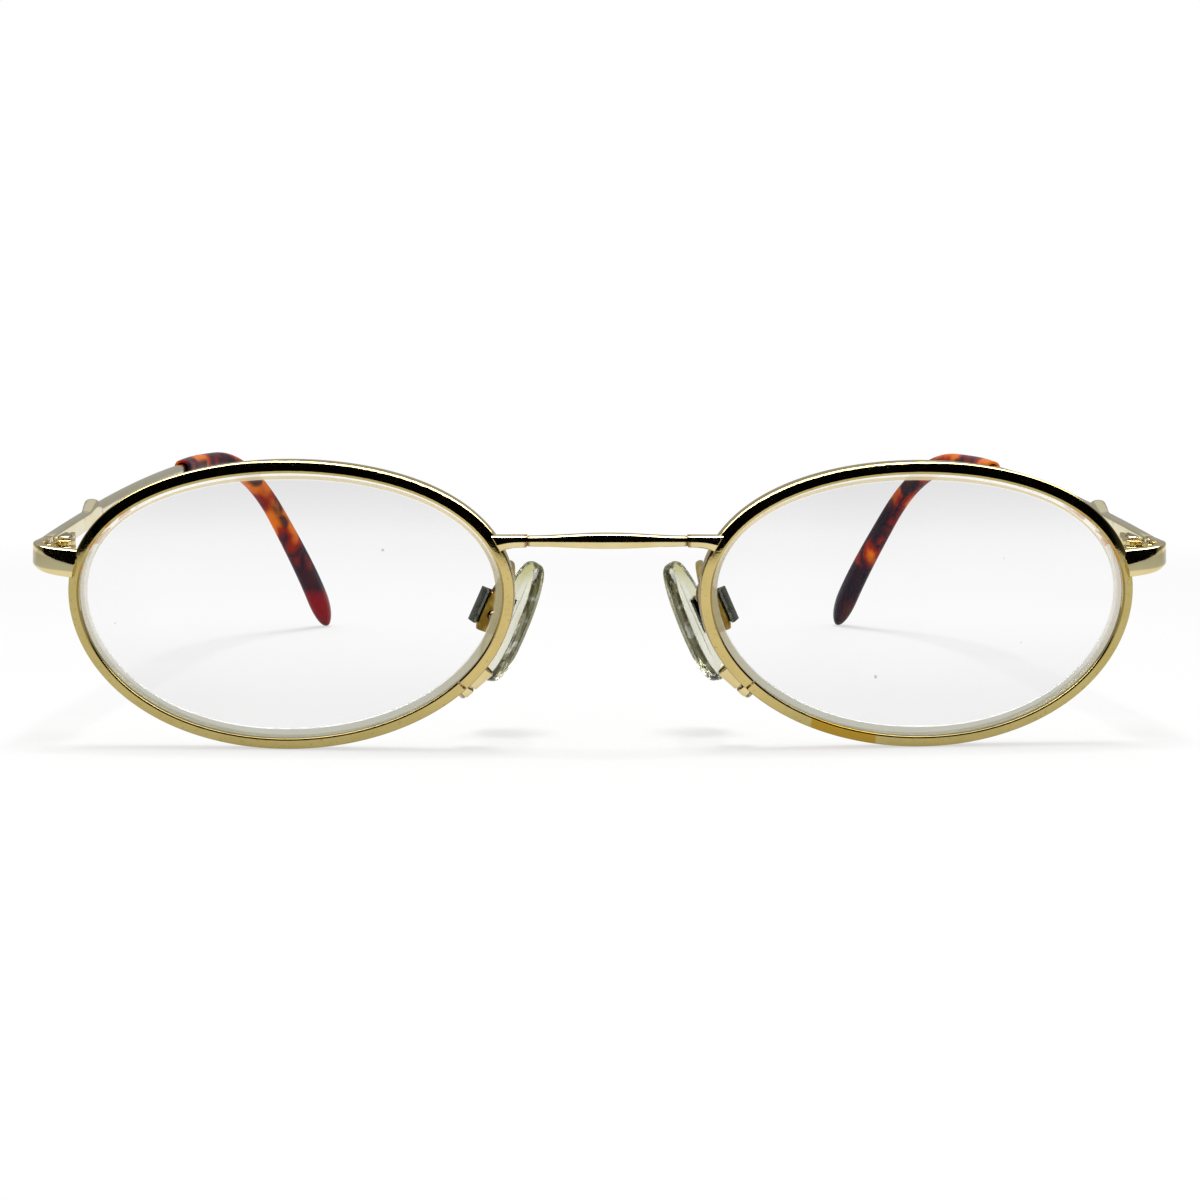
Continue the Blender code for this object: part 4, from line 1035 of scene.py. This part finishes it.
half = BARREL_HEIGHT / 2.0
third = BARREL_HEIGHT / 6.0
clear = KNUCKLE_RADIUS + TURN_GAP
past = clear * 1.5
bore = rod(HINGE_SCREW_RADIUS + SEAT_GAP, -half * 1.2, half * 1.2)
middle_gap = block((-past, -clear, -third - TURN_GAP), (past, past, third + TURN_GAP))
upper_gap = block((-past, -past, third), (past, clear, half * 1.1))
lower_gap = block((-past, -past, -half * 1.1), (past, clear, -third))
head = half + SEAT_GAP
top = head + HINGE_HEAD_HEIGHT
screw_profile = [(0, -half), (HINGE_SCREW_RADIUS, -half), (HINGE_SCREW_RADIUS, head)]
screw_profile += head_profile(HINGE_HEAD_RADIUS, head, HINGE_HEAD_HEIGHT, HINGE_HEAD_STAGES)
slot = block((-top, -SCREW_SLOT / 2.0, blend(head, top, 0.4)), (top, SCREW_SLOT / 2.0, top * 1.2))
shape = knuckle(FRONT_LEAF_LENGTH, -1)
shaping = {"cutters": [middle_gap, bore], "soften": KNUCKLE_SOFT_EDGE}
pair("front_knuckles", shape, part_gold, "front", "hinge_front", "gold_plate", HINGE, **shaping)
shape = knuckle(TEMPLE_LEAF_LENGTH, 1)
shaping = {"cutters": [upper_gap, lower_gap, bore], "soften": KNUCKLE_SOFT_EDGE}
pair("temple_knuckle", shape, part_gold, "side", "hinge_temple", "gold_plate", HINGE, **shaping)
shape = turned(screw_profile)
pair("slotted_screw", shape, screw_steel, "front", "hinge_screw", "steel", HINGE, cutters=[slot])

# The temples: a flat gold strip from the butt, a raised bead with ridges across it, then an arched bar. Its
# thin core runs on inside the tip, a polished sleeve of plastic mottled amber, red-brown and near black,
# which bends down behind the ear, leans in towards the head and stands on the table with its rounded end.
TEMPLE_THICKNESS = 0.0012
TEMPLE_LENGTH = 0.1375
TEMPLE_RISE = math.radians(3.75)
TEMPLE_ARCH_RADIUS = 0.70
TEMPLE_SOFT_EDGE = 0.0001
TABLE_CLEARANCE = 0.000002
BLADE_END_HALF_HEIGHT = 0.00105
BEAD_AT = 0.0174
BEAD_LENGTH = 0.0044
BEAD_REACH = BEAD_LENGTH * 0.65
BEAD_RISE = 0.00105
BEAD_ROUNDING = 0.0005
BEAD_SWELL = 0.00025
BEAD_RIDGES = 4.0
RIDGE_DEPTH = 0.000025
TEMPLE_GOLD = (0.76, 0.71, 0.50)
BAR_HALF_HEIGHT = 0.00120
BAR_END_HALF_HEIGHT = 0.00095
BAR_HALF_THICKNESS = 0.00075
BAR_END_HALF_THICKNESS = 0.00068
CORE_RADIUS = 0.0006
CORE_END = 0.128
TIP_START = 0.0660
TIP_BEND_START = 0.0840
TIP_BEND_RADIUS = 0.027
TIP_LEAN_START = 0.070
TIP_LEAN_RUN = 0.075
TIP_LEAN_IN = 0.0141
TIP_FIT = 0.0002
TIP_MOUTH_WALL = 0.0004
TIP_HALF_THICKNESS = 0.00139
TIP_END_HALF_THICKNESS = 0.00190
TIP_HALF_HEIGHT = 0.00166
TIP_END_HALF_HEIGHT = 0.00194
TIP_ROUND_END = 0.0074
TIP_SWELL_START = 0.0960
TIP_SWELL_END = 0.1310
TIP_END_RINGS = 24
TIP_AMBER = (0.78, 0.17, 0.006)
TIP_RED = (0.34, 0.014, 0.002)
TIP_DARK = (0.012, 0.007, 0.016)
TIP_CRIMSON = (0.24, 0.002, 0.008)
TIP_STRETCH = (1.0, 0.55, 0.7)
TIP_SHIFT = (0.021, 0.004, 0.0)


def run_arc(start, angle, radius, length):
    """Where a bend that turns down ends, in the temple's side view, and the angle that it leaves."""
    after = angle - length / radius
    y = start[0] + radius * (math.sin(angle) - math.sin(after))
    z = start[1] + radius * (math.cos(after) - math.cos(angle))
    return (y, z), after


def temple_line(distance, drop):
    """The middle line at a distance: arched to the bend, round it, then straight down at the drop angle."""
    arch = min(distance, TIP_BEND_START)
    place, angle = run_arc((BUTT_Y + SEAT_GAP, BUTT_Z), TEMPLE_RISE, TEMPLE_ARCH_RADIUS, arch)
    bend_length = (angle + drop) * TIP_BEND_RADIUS
    bend = min(max(distance - TIP_BEND_START, 0.0), bend_length)
    place, angle = run_arc(place, angle, TIP_BEND_RADIUS, bend)
    rest = max(distance - TIP_BEND_START - bend_length, 0.0)
    y = place[0] + rest * math.cos(angle)
    z = place[1] + rest * math.sin(angle)
    lean_in = TIP_LEAN_IN * ease((distance - TIP_LEAN_START) / TIP_LEAN_RUN)
    return Vector((TEMPLE_OUTER_X - TEMPLE_THICKNESS / 2.0 - lean_in, y, z))


def temple_ring(distance, drop, half_width, top, bottom, corner):
    """A ring of the temple or tip, square to its middle line."""
    step = TEMPLE_THICKNESS / 2.0
    middle = temple_line(distance, drop)
    along = (temple_line(distance + step, drop) - temple_line(max(distance - step, 0.0), drop)).normalized()
    across = Vector((1.0, 0.0, 0.0))
    if distance >= TIP_LEAN_START:
        across = (across - along * across.dot(along)).normalized()
    upwards = across.cross(along) if distance > 0.0 else Vector((0.0, 0.0, 1.0))
    corners = [
        (half_width, -bottom, corner),
        (half_width, top, corner),
        (-half_width, top, corner),
        (-half_width, -bottom, corner),
    ]
    return [middle + across * point.x + upwards * point.y for point in rounded(corners, 7)]


def metal_size(distance):
    """Half width, top, bottom and corner of the metal at a distance: strip, bead, bar, then core."""
    bead = 0.0
    ridge = 0.0
    away = distance - BEAD_AT
    if abs(away) < BEAD_REACH:
        bead = math.cos(math.pi / 2.0 * away / BEAD_REACH) ** 2
        wave = math.sin(math.pi * BEAD_RIDGES * away / BEAD_LENGTH)
        ridge = RIDGE_DEPTH * bead * wave**2
    past_bead = ease((away + BEAD_LENGTH / 4.0) / (BEAD_LENGTH / 2.0))
    strip = blend(BLADE_HALF_HEIGHT, BLADE_END_HALF_HEIGHT, distance / BEAD_AT)
    share = min(away / (TIP_START - BEAD_AT), 1.0)
    bar = blend(BAR_HALF_HEIGHT, BAR_END_HALF_HEIGHT, share)
    wide = blend(BAR_HALF_THICKNESS, BAR_END_HALF_THICKNESS, share)
    core = ease((distance - TIP_START) / (TIP_BEND_START - TIP_START) * 2.0)
    half_width = blend(TEMPLE_THICKNESS / 2.0, wide, past_bead) + BEAD_SWELL * bead - ridge
    half_width = blend(half_width, CORE_RADIUS, core)
    height = blend(blend(strip, bar, past_bead), CORE_RADIUS, core)
    corner = blend(TEMPLE_THICKNESS * 0.3, TEMPLE_THICKNESS * 0.55, past_bead) + BEAD_ROUNDING * bead
    return half_width, height + BEAD_RISE * bead - ridge, height + BEAD_RISE * 0.4 * bead - ridge, corner


def bend_end(drop):
    """The distance at which the tip's bend ends."""
    angle = TEMPLE_RISE - TIP_BEND_START / TEMPLE_ARCH_RADIUS
    return TIP_BEND_START + (angle + drop) * TIP_BEND_RADIUS


def along_legs(start, *legs):
    """Distances from a start on through legs, each given as (where it ends, steps)."""
    distances = [start]
    for end, steps in legs:
        distances += spaced(start, end, steps)[1:]
        start = end
    return distances


def temple(drop):
    """The metal temple from its softened butt to the end of its core."""
    rings = []
    distances = []
    for distance, inset in soft_ends(0.0, BEAD_AT, TEMPLE_SOFT_EDGE)[:3]:
        sizes = [size - inset for size in metal_size(distance)[:3]] + [metal_size(distance)[3]]
        rings.append(temple_ring(distance, drop, *sizes))
        distances.append(distance)
    bead = ((BEAD_AT - BEAD_REACH, 8), (BEAD_AT + BEAD_REACH, 72))
    core = ((TIP_START, 24), (TIP_BEND_START, 14), (bend_end(drop), 24))
    more = along_legs(TEMPLE_SOFT_EDGE, *bead, *core)[1:] + [CORE_END]
    rings += [temple_ring(distance, drop, *metal_size(distance)) for distance in more]
    return skin(rings, distances + more)


def tip_size(distance):
    """Half width, top, bottom and corner of the tip's outside at a distance."""
    along = distance - TIP_START
    metal = metal_size(TIP_START)
    grow = math.sin(math.pi / 2.0 * min(along / (TIP_BEND_START - TIP_START) * 1.6, 1.0))
    half_width = blend(metal[0] + TIP_FIT + TIP_MOUTH_WALL, TIP_HALF_THICKNESS, grow)
    height = blend(metal[1] + TIP_FIT + TIP_MOUTH_WALL, TIP_HALF_HEIGHT, grow)
    swell = ease((distance - TIP_SWELL_START) / (TIP_SWELL_END - TIP_SWELL_START))
    half_width = blend(half_width, TIP_END_HALF_THICKNESS, swell)
    height = blend(height, TIP_END_HALF_HEIGHT, swell)
    left = (TEMPLE_LENGTH - distance) / TIP_ROUND_END
    if left < 1.0:
        round_end = math.sqrt(max(1.0 - (1.0 - left) ** 2, 0.0))
        half_width *= round_end
        height *= round_end
    return half_width, height, height, min(half_width, height) * 1.15


def tip_rings(drop):
    """The tip's rings, from the blind end of its bore out to the mouth and back along the outside."""
    inner = along_legs(TIP_START, (TIP_BEND_START, 8), (bend_end(drop), 12)) + [CORE_END + TIP_FIT]
    bore = [temple_ring(place, drop, *(size + TIP_FIT for size in metal_size(place))) for place in inner]
    lip = TIP_MOUTH_WALL / 2.0
    shell = []
    outer = []
    for distance, inset in soft_ends(TIP_START, TIP_BEND_START, lip)[:3]:
        sizes = [size - inset for size in tip_size(distance)]
        shell.append(temple_ring(distance, drop, *sizes))
        outer.append(distance)
    round_start = TEMPLE_LENGTH - TIP_ROUND_END
    more = along_legs(TIP_START + lip, (TIP_BEND_START, 20), (bend_end(drop), 44), (round_start, 16))[1:]
    for turn in spaced(0.0, math.pi / 2.0, 14)[1:-1]:
        more.append(TEMPLE_LENGTH - TIP_ROUND_END * (1.0 - math.sin(turn)))
    shell += [temple_ring(distance, drop, *tip_size(distance)) for distance in more]
    rings = bore[::-1] + shell + [[temple_line(TEMPLE_LENGTH, drop)]]
    return rings, inner[::-1] + outer + more + [TEMPLE_LENGTH]


def table_drop():
    """The drop angle at which the tips reach the table."""
    high, low = math.radians(10.0), math.radians(100.0)
    for _ in range(22):
        drop = (high + low) / 2.0
        lowest = min((FRONT @ point).z for ring in tip_rings(drop)[0][-TIP_END_RINGS:] for point in ring)
        if lowest > TABLE_CLEARANCE:
            high = drop
        else:
            low = drop
    return high


def tortoise():
    """Mottled plastic under a polished coat: amber, then red-brown, then nearly black."""
    look = new_look("tortoise_plastic")
    place = look.place()
    x, _, z = look.axes(place)
    stretch = {"Vector": place, "Scale": TIP_STRETCH, "Location": TIP_SHIFT}
    warped = look.node("ShaderNodeMapping", None, stretch)
    clouds = look.noise(150.0, 1.5, warped, 0.6)
    flecks = look.noise(620.0, place=warped)
    around = look.along()[1]
    inside = look.between(around, 0.60, 0.68, 0.86, 0.97)
    tone = clouds * 0.88 + flecks * 0.12
    stops = [(0.42, TIP_AMBER), (0.49, TIP_RED), (0.56, TIP_DARK), (0.63, TIP_RED), (0.68, TIP_AMBER)]
    mottle = look.node("ShaderNodeValToRGB", {"stops": stops}, {0: tone})
    streaks = inside * look.patches(150.0, 2.0, 0.42, 0.52)
    colour = look.mix(streaks * 0.9, mottle, TIP_DARK)
    colour = look.mix(look.rise(z, 0.0150, 0.0110) * 0.93, colour, TIP_DARK)
    end = look.rise(z, 0.0085, 0.0060) * look.rise(x, 0.0, -0.02)
    colour = look.mix(end * 0.9, colour, TIP_CRIMSON)
    smears = look.noise(SOFT_HAZE, 2.0)
    return look.surface(
        base_color=colour,
        roughness=0.20 + smears * 0.08,
        coat_weight=0.04 + smears * 0.06,
        coat_roughness=0.06,
        specular_ior_level=0.05,
        normal=look.bump(smears, 0.05, 0.0001),
    )


tip_drop = table_drop()
temple_gold = gold_plate("temple_gold", TEMPLE_GOLD, PART_GOLD, 0.10)
pair("temple_beaded", temple(tip_drop), temple_gold, "side", "temple", "gold_plate")
pair("tip_mottled", skin(*tip_rings(tip_drop)), tortoise(), "side", "temple_tip", "tortoise")

# The pad arms: a gold wire soldered behind each eyewire, bent back and over, and stamped flat at its end
# into a plate with the pin's hole.
PAD_FLARE = math.radians(24.0)
PAD_SPLAY = math.radians(28.0)
PAD_LEAN = math.radians(6.0)
PAD_PIN_PLACE = Vector((0.0132, 0.0085, 0.0136))
PLATE_HALF_WIDTH = 0.00145
PLATE_THICKNESS = 0.0007
PLATE_LENGTH = 0.0049
PIN_ABOVE_PLATE_END = 0.00215
PLATE_FOOT = 0.0006
PIN_RADIUS = 0.0004
ARM_RADIUS = 0.0005
ARM_ARCH = 0.0013
ARM_FOOT_ANGLE = math.radians(179.0)
ARM_STEPS = 10
ARM_GOLD = (0.68, 0.50, 0.10)
ARM_BROWN_AND_SHADE = (0.13, 0.07, 0.005)
PIN_BRONZE = (0.26, 0.18, 0.07)


def pad_frame():
    """The pin's place and the pad's directions: x back along the pin, y towards the nose, z up the pad."""
    up = Vector((-math.sin(PAD_FLARE), math.sin(PAD_LEAN), math.cos(PAD_FLARE))).normalized()
    back = Vector((math.sin(PAD_SPLAY), math.cos(PAD_SPLAY), 0.0))
    back = (back - up * back.dot(up)).normalized()
    turn = Matrix((back, up.cross(back), up)).transposed().to_4x4()
    return Matrix.Translation(PAD_PIN_PLACE) @ turn


def curve_through(points, steps):
    """Points on a smooth line through the given ones."""
    line = []
    padded = [points[0] * 2.0 - points[1]] + points + [points[-1] * 2.0 - points[-2]]
    for before, here, there, after in zip(padded, padded[1:], padded[2:], padded[3:]):
        for t in spaced(0.0, 1.0, steps)[:-1]:
            swing = (there - before) * t + (before * 2.0 - here * 5.0 + there * 4.0 - after) * t**2
            line.append(here + (swing + (here * 3.0 - before - there * 3.0 + after) * t**3) / 2.0)
    return line + [points[-1]]


def pad_arm():
    """Round wire from its foot behind the eyewire, back and over, to the flat plate at its end."""
    foot = Vector((0.0, RIM_DEPTH / 2.0 + SOLDER_GAP * 0.3, 0.0)) + oval(ARM_FOOT_ANGLE, RIM_WALL * 0.45)
    foot = EYE @ foot
    plate_top = PAD @ Vector((0.0, 0.0, PLATE_LENGTH - PIN_ABOVE_PLATE_END))
    plate_end = PAD @ Vector((0.0, 0.0, -PIN_ABOVE_PLATE_END))
    span = plate_top - foot
    rise = Vector((0.0, 0.0, 1.0))
    route = [
        foot,
        foot + Vector((0.0, span.y * 0.28, 0.0)) + rise * ARM_ARCH * 0.6,
        foot + Vector((span.x * 0.1, span.y * 0.6, 0.0)) + rise * ARM_ARCH,
        foot + Vector((span.x * 0.5, span.y * 0.9, span.z * 0.2)) + rise * ARM_ARCH * 0.6,
        plate_top,
    ]
    plate = [blend(plate_top, plate_end, share) for share in spaced(0.0, 1.0, ARM_STEPS)[1:]]
    line = curve_through(route, ARM_STEPS) + plate
    wire_end = ARM_STEPS * (len(route) - 1)
    nose = PAD.to_3x3() @ Vector((0.0, 1.0, 0.0))
    rings = []
    for index, middle in enumerate(line):
        along = (line[min(index + 1, len(line) - 1)] - line[max(index - 1, 0)]).normalized()
        across = (nose - along * nose.dot(along)).normalized()
        thick = along.cross(across)
        flat = ease((index - wire_end + ARM_STEPS * 0.75) / ARM_STEPS)
        left = (len(line) - 1 - index) / 3.0
        end = math.sqrt(1.0 - 0.45 * max(1.0 - left, 0.0) ** 2)
        half_width = blend(ARM_RADIUS, PLATE_HALF_WIDTH * end, flat)
        half_thick = blend(ARM_RADIUS, PLATE_THICKNESS / 2.0, flat)
        reach = blend(ARM_RADIUS * 1.1, PLATE_THICKNESS * 0.25, flat)
        corners = [(a * half_width, b * half_thick, reach) for a, b in ((1, -1), (1, 1), (-1, 1), (-1, -1))]
        rings.append([middle + across * point.x + thick * point.y for point in rounded(corners, 6)])
    return skin(rings)


def stamped_plate(gold):
    """1 on the stamped plate, in blotches: painted shade from the clip, darkening the gold to brown."""
    ring = gold.along()[0]
    return gold.rise(ring, 30.0, 38.0) * (0.7 + 0.5 * gold.patches(800.0, 3.0, 0.25, 0.6))


PAD = pad_frame()
hole_points, *hole_faces = rod(PIN_RADIUS + SEAT_GAP, -PLATE_THICKNESS, PLATE_THICKNESS, "X")
pin_hole = ([PAD @ point for point in hole_points], *hole_faces)
# The arm's plate is painted brown as shade; the wire's gold drifts towards the same brown.
arm_gold = gold_plate("pad_arm_gold", ARM_GOLD, ARM_BROWN_AND_SHADE, 0.08, 2.0, stamped_plate, ARM_BROWN_AND_SHADE)
pair("pad_arm_bent", pad_arm(), arm_gold, "front", "pad_arm", "gold_plate", cutters=[pin_hole])

# The pads rock on their arms: a nickel-plated channel round each plate, a pin through both, and a clear
# soft pad, a little yellowed, moulded onto the channel's near side.
PIN_HEAD_RADIUS = 0.00062
PIN_HEAD_HEIGHT = 0.0003
PIN_DOME_STAGES = ((0.0, -1.0), (0.5, -0.97), (0.85, -0.75), (1.0, -0.4), (1.0, 0.0))
PIN_RIVET_STAGES = ((1.0, 0.0), (1.0, 0.6), (0.7, 1.0), (0.0, 1.0))
CLIP_WALL = 0.00045
CLIP_EAR_GAP = 0.0003
CLIP_SOFT_EDGE = CLIP_WALL * 0.22
CLIP_EAR = PLATE_HALF_WIDTH + CLIP_EAR_GAP
CLIP_SIDE = CLIP_EAR + CLIP_WALL
CLIP_WEB = PLATE_THICKNESS / 2.0 + TURN_GAP
CLIP_BACK = CLIP_WEB + CLIP_WALL
CLIP_LOW = PLATE_FOOT - PIN_ABOVE_PLATE_END
CLIP_HIGH = PLATE_LENGTH - PIN_ABOVE_PLATE_END
PAD_SHARP_ANGLE = 50.0
PAD_HALF_WIDTH = 0.0034
PAD_HALF_LENGTH = 0.00765
PAD_THICKNESS = 0.0019
PAD_SEAT_DEPTH = 0.00025
PAD_ABOVE_PIN = 0.0001
PAD_ROUND = 0.0011
PAD_FACE_ROUND = 0.0001
PAD_BACK_ROUND = 0.00015
PAD_EDGE_ROUND = 0.0003
CLIP_SHADED_GREY = (0.11, 0.115, 0.09)
STEEL_WEAR_AND_SHADE = (0.02, 0.02, 0.015)
PAD_CLEAR = (0.96, 0.96, 0.86)
PAD_YELLOW = (0.54, 0.53, 0.18)
PAD_SHADE_OLIVE = (0.075, 0.070, 0.026)


def pad_clip():
    """The channel's outline drawn up, before its edges are softened."""
    outline = [(-CLIP_WEB, CLIP_EAR), (-CLIP_WEB, CLIP_SIDE), (CLIP_BACK, CLIP_SIDE), (CLIP_BACK, -CLIP_SIDE)]
    outline += [(-CLIP_WEB, -CLIP_SIDE), (-CLIP_WEB, -CLIP_EAR), (CLIP_WEB, -CLIP_EAR), (CLIP_WEB, CLIP_EAR)]
    return skin([raised(outline, CLIP_LOW), raised(outline, CLIP_HIGH)])


def pad_ring(height, inset):
    """The pad's outline, an oval a little narrower above, at a height off its back."""
    ring = []
    for turn in spaced(0.0, 2.0 * math.pi, 72)[:-1]:
        narrow = 1.0 - 0.12 * math.sin(turn)
        x = (PAD_HALF_WIDTH - inset) * narrow * math.copysign(abs(math.cos(turn)) ** 0.85, math.cos(turn))
        z = (PAD_HALF_LENGTH - inset) * math.copysign(abs(math.sin(turn)) ** 0.9, math.sin(turn))
        ring.append(Vector((x, height, PAD_ABOVE_PIN + z)))
    return ring


def nose_pad():
    """The pad from its back to its flat face, with a full edge and a moulded slope round the face."""
    back = CLIP_SIDE - PAD_SEAT_DEPTH
    edge = [
        (PAD_ROUND * 3.0, back, PAD_FACE_ROUND),
        (PAD_ROUND * 0.20, back, PAD_BACK_ROUND),
        (0.0, back + PAD_THICKNESS * 0.25, PAD_EDGE_ROUND),
        (PAD_ROUND * 0.15, back + PAD_THICKNESS * 0.80, PAD_EDGE_ROUND),
        (PAD_ROUND * 0.8, back + PAD_THICKNESS, PAD_EDGE_ROUND),
        (PAD_ROUND * 3.0, back + PAD_THICKNESS, PAD_FACE_ROUND),
    ]
    return skin([pad_ring(point.y, point.x) for point in rounded(edge, 6)])


def clear_plastic():
    """Clear soft plastic that bends the light, yellowed most at its top, with a few cloudy patches, and a
    dark olive band of painted shade on its sloped side, broken by painted glints.
    """
    look = new_look("clear_soft_plastic")
    z = look.axes(look.place())[2]
    ring = look.along()[0]
    old = look.rise(z, 0.0165, 0.0215) * 0.8 + look.patches(300.0, 3.0, 0.4, 0.8) * 0.2
    scuffs = look.noise(2400.0)
    glints = look.patches(700.0, 2.0, 0.55, 0.66)
    band = look.between(ring, 9.0, 11.0, 20.62, 20.86)
    rim = look.between(ring, 20.90, 21.50, 32.0, 36.0)
    colour = look.mix(old + rim * 0.5, PAD_CLEAR, PAD_YELLOW)
    # Painted shade: a dark olive band on the pad's sloped side, lightened by painted glints.
    colour = look.mix(band * (1.0 - 0.4 * glints) * look.rise(z, 0.0215, 0.0190), colour, PAD_SHADE_OLIVE)
    return look.surface(
        base_color=colour,
        roughness=0.03 + scuffs * 0.08,
        transmission_weight=0.88,
        ior=1.41,
        normal=look.bump(look.noise(700.0, 2.0) + scuffs * 0.2, 0.12, 0.0002),
    )


# Painted shade: the channel's plated steel is painted near black for the dark room it mirrors; the pin's worn
# patches share that dark.
clip_steel = plated_steel("clip_steel", 0.12, CLIP_SHADED_GREY, STEEL_WEAR_AND_SHADE)
pin_steel = plated_steel("pin_steel", 0.22, PIN_BRONZE, STEEL_WEAR_AND_SHADE)
rear = CLIP_BACK + SEAT_GAP
seat_corner = (-CLIP_WEB - SEAT_GAP, 0.0, CLIP_LOW - SEAT_GAP)
seat = block(seat_corner, (rear, CLIP_SIDE + SEAT_GAP, CLIP_HIGH + SEAT_GAP))
clip_hole = rod(PIN_RADIUS + SEAT_GAP, 0.0, rear * 1.5, "X")
front = -PLATE_THICKNESS / 2.0 - SEAT_GAP
pin_profile = head_profile(PIN_HEAD_RADIUS, front, PIN_HEAD_HEIGHT, PIN_DOME_STAGES)
pin_profile += [(PIN_RADIUS, front), (PIN_RADIUS, rear)]
pin_profile += head_profile(PIN_HEAD_RADIUS, rear, PIN_HEAD_HEIGHT, PIN_RIVET_STAGES)
shaping = {"cutters": [clip_hole], "soften": CLIP_SOFT_EDGE}
pair("clip_channel", pad_clip(), clip_steel, "pad", "pad_clip", "steel", PAD, **shaping)
pair("pin_domed", turned(pin_profile, "X"), pin_steel, "pad", "pad_pin", "steel", PAD)
shaping = {"cutters": [seat], "sharp": PAD_SHARP_ANGLE}
pair("pad_soft", nose_pad(), clear_plastic(), "pad", "nose_pad", "clear_pad", PAD, **shaping)
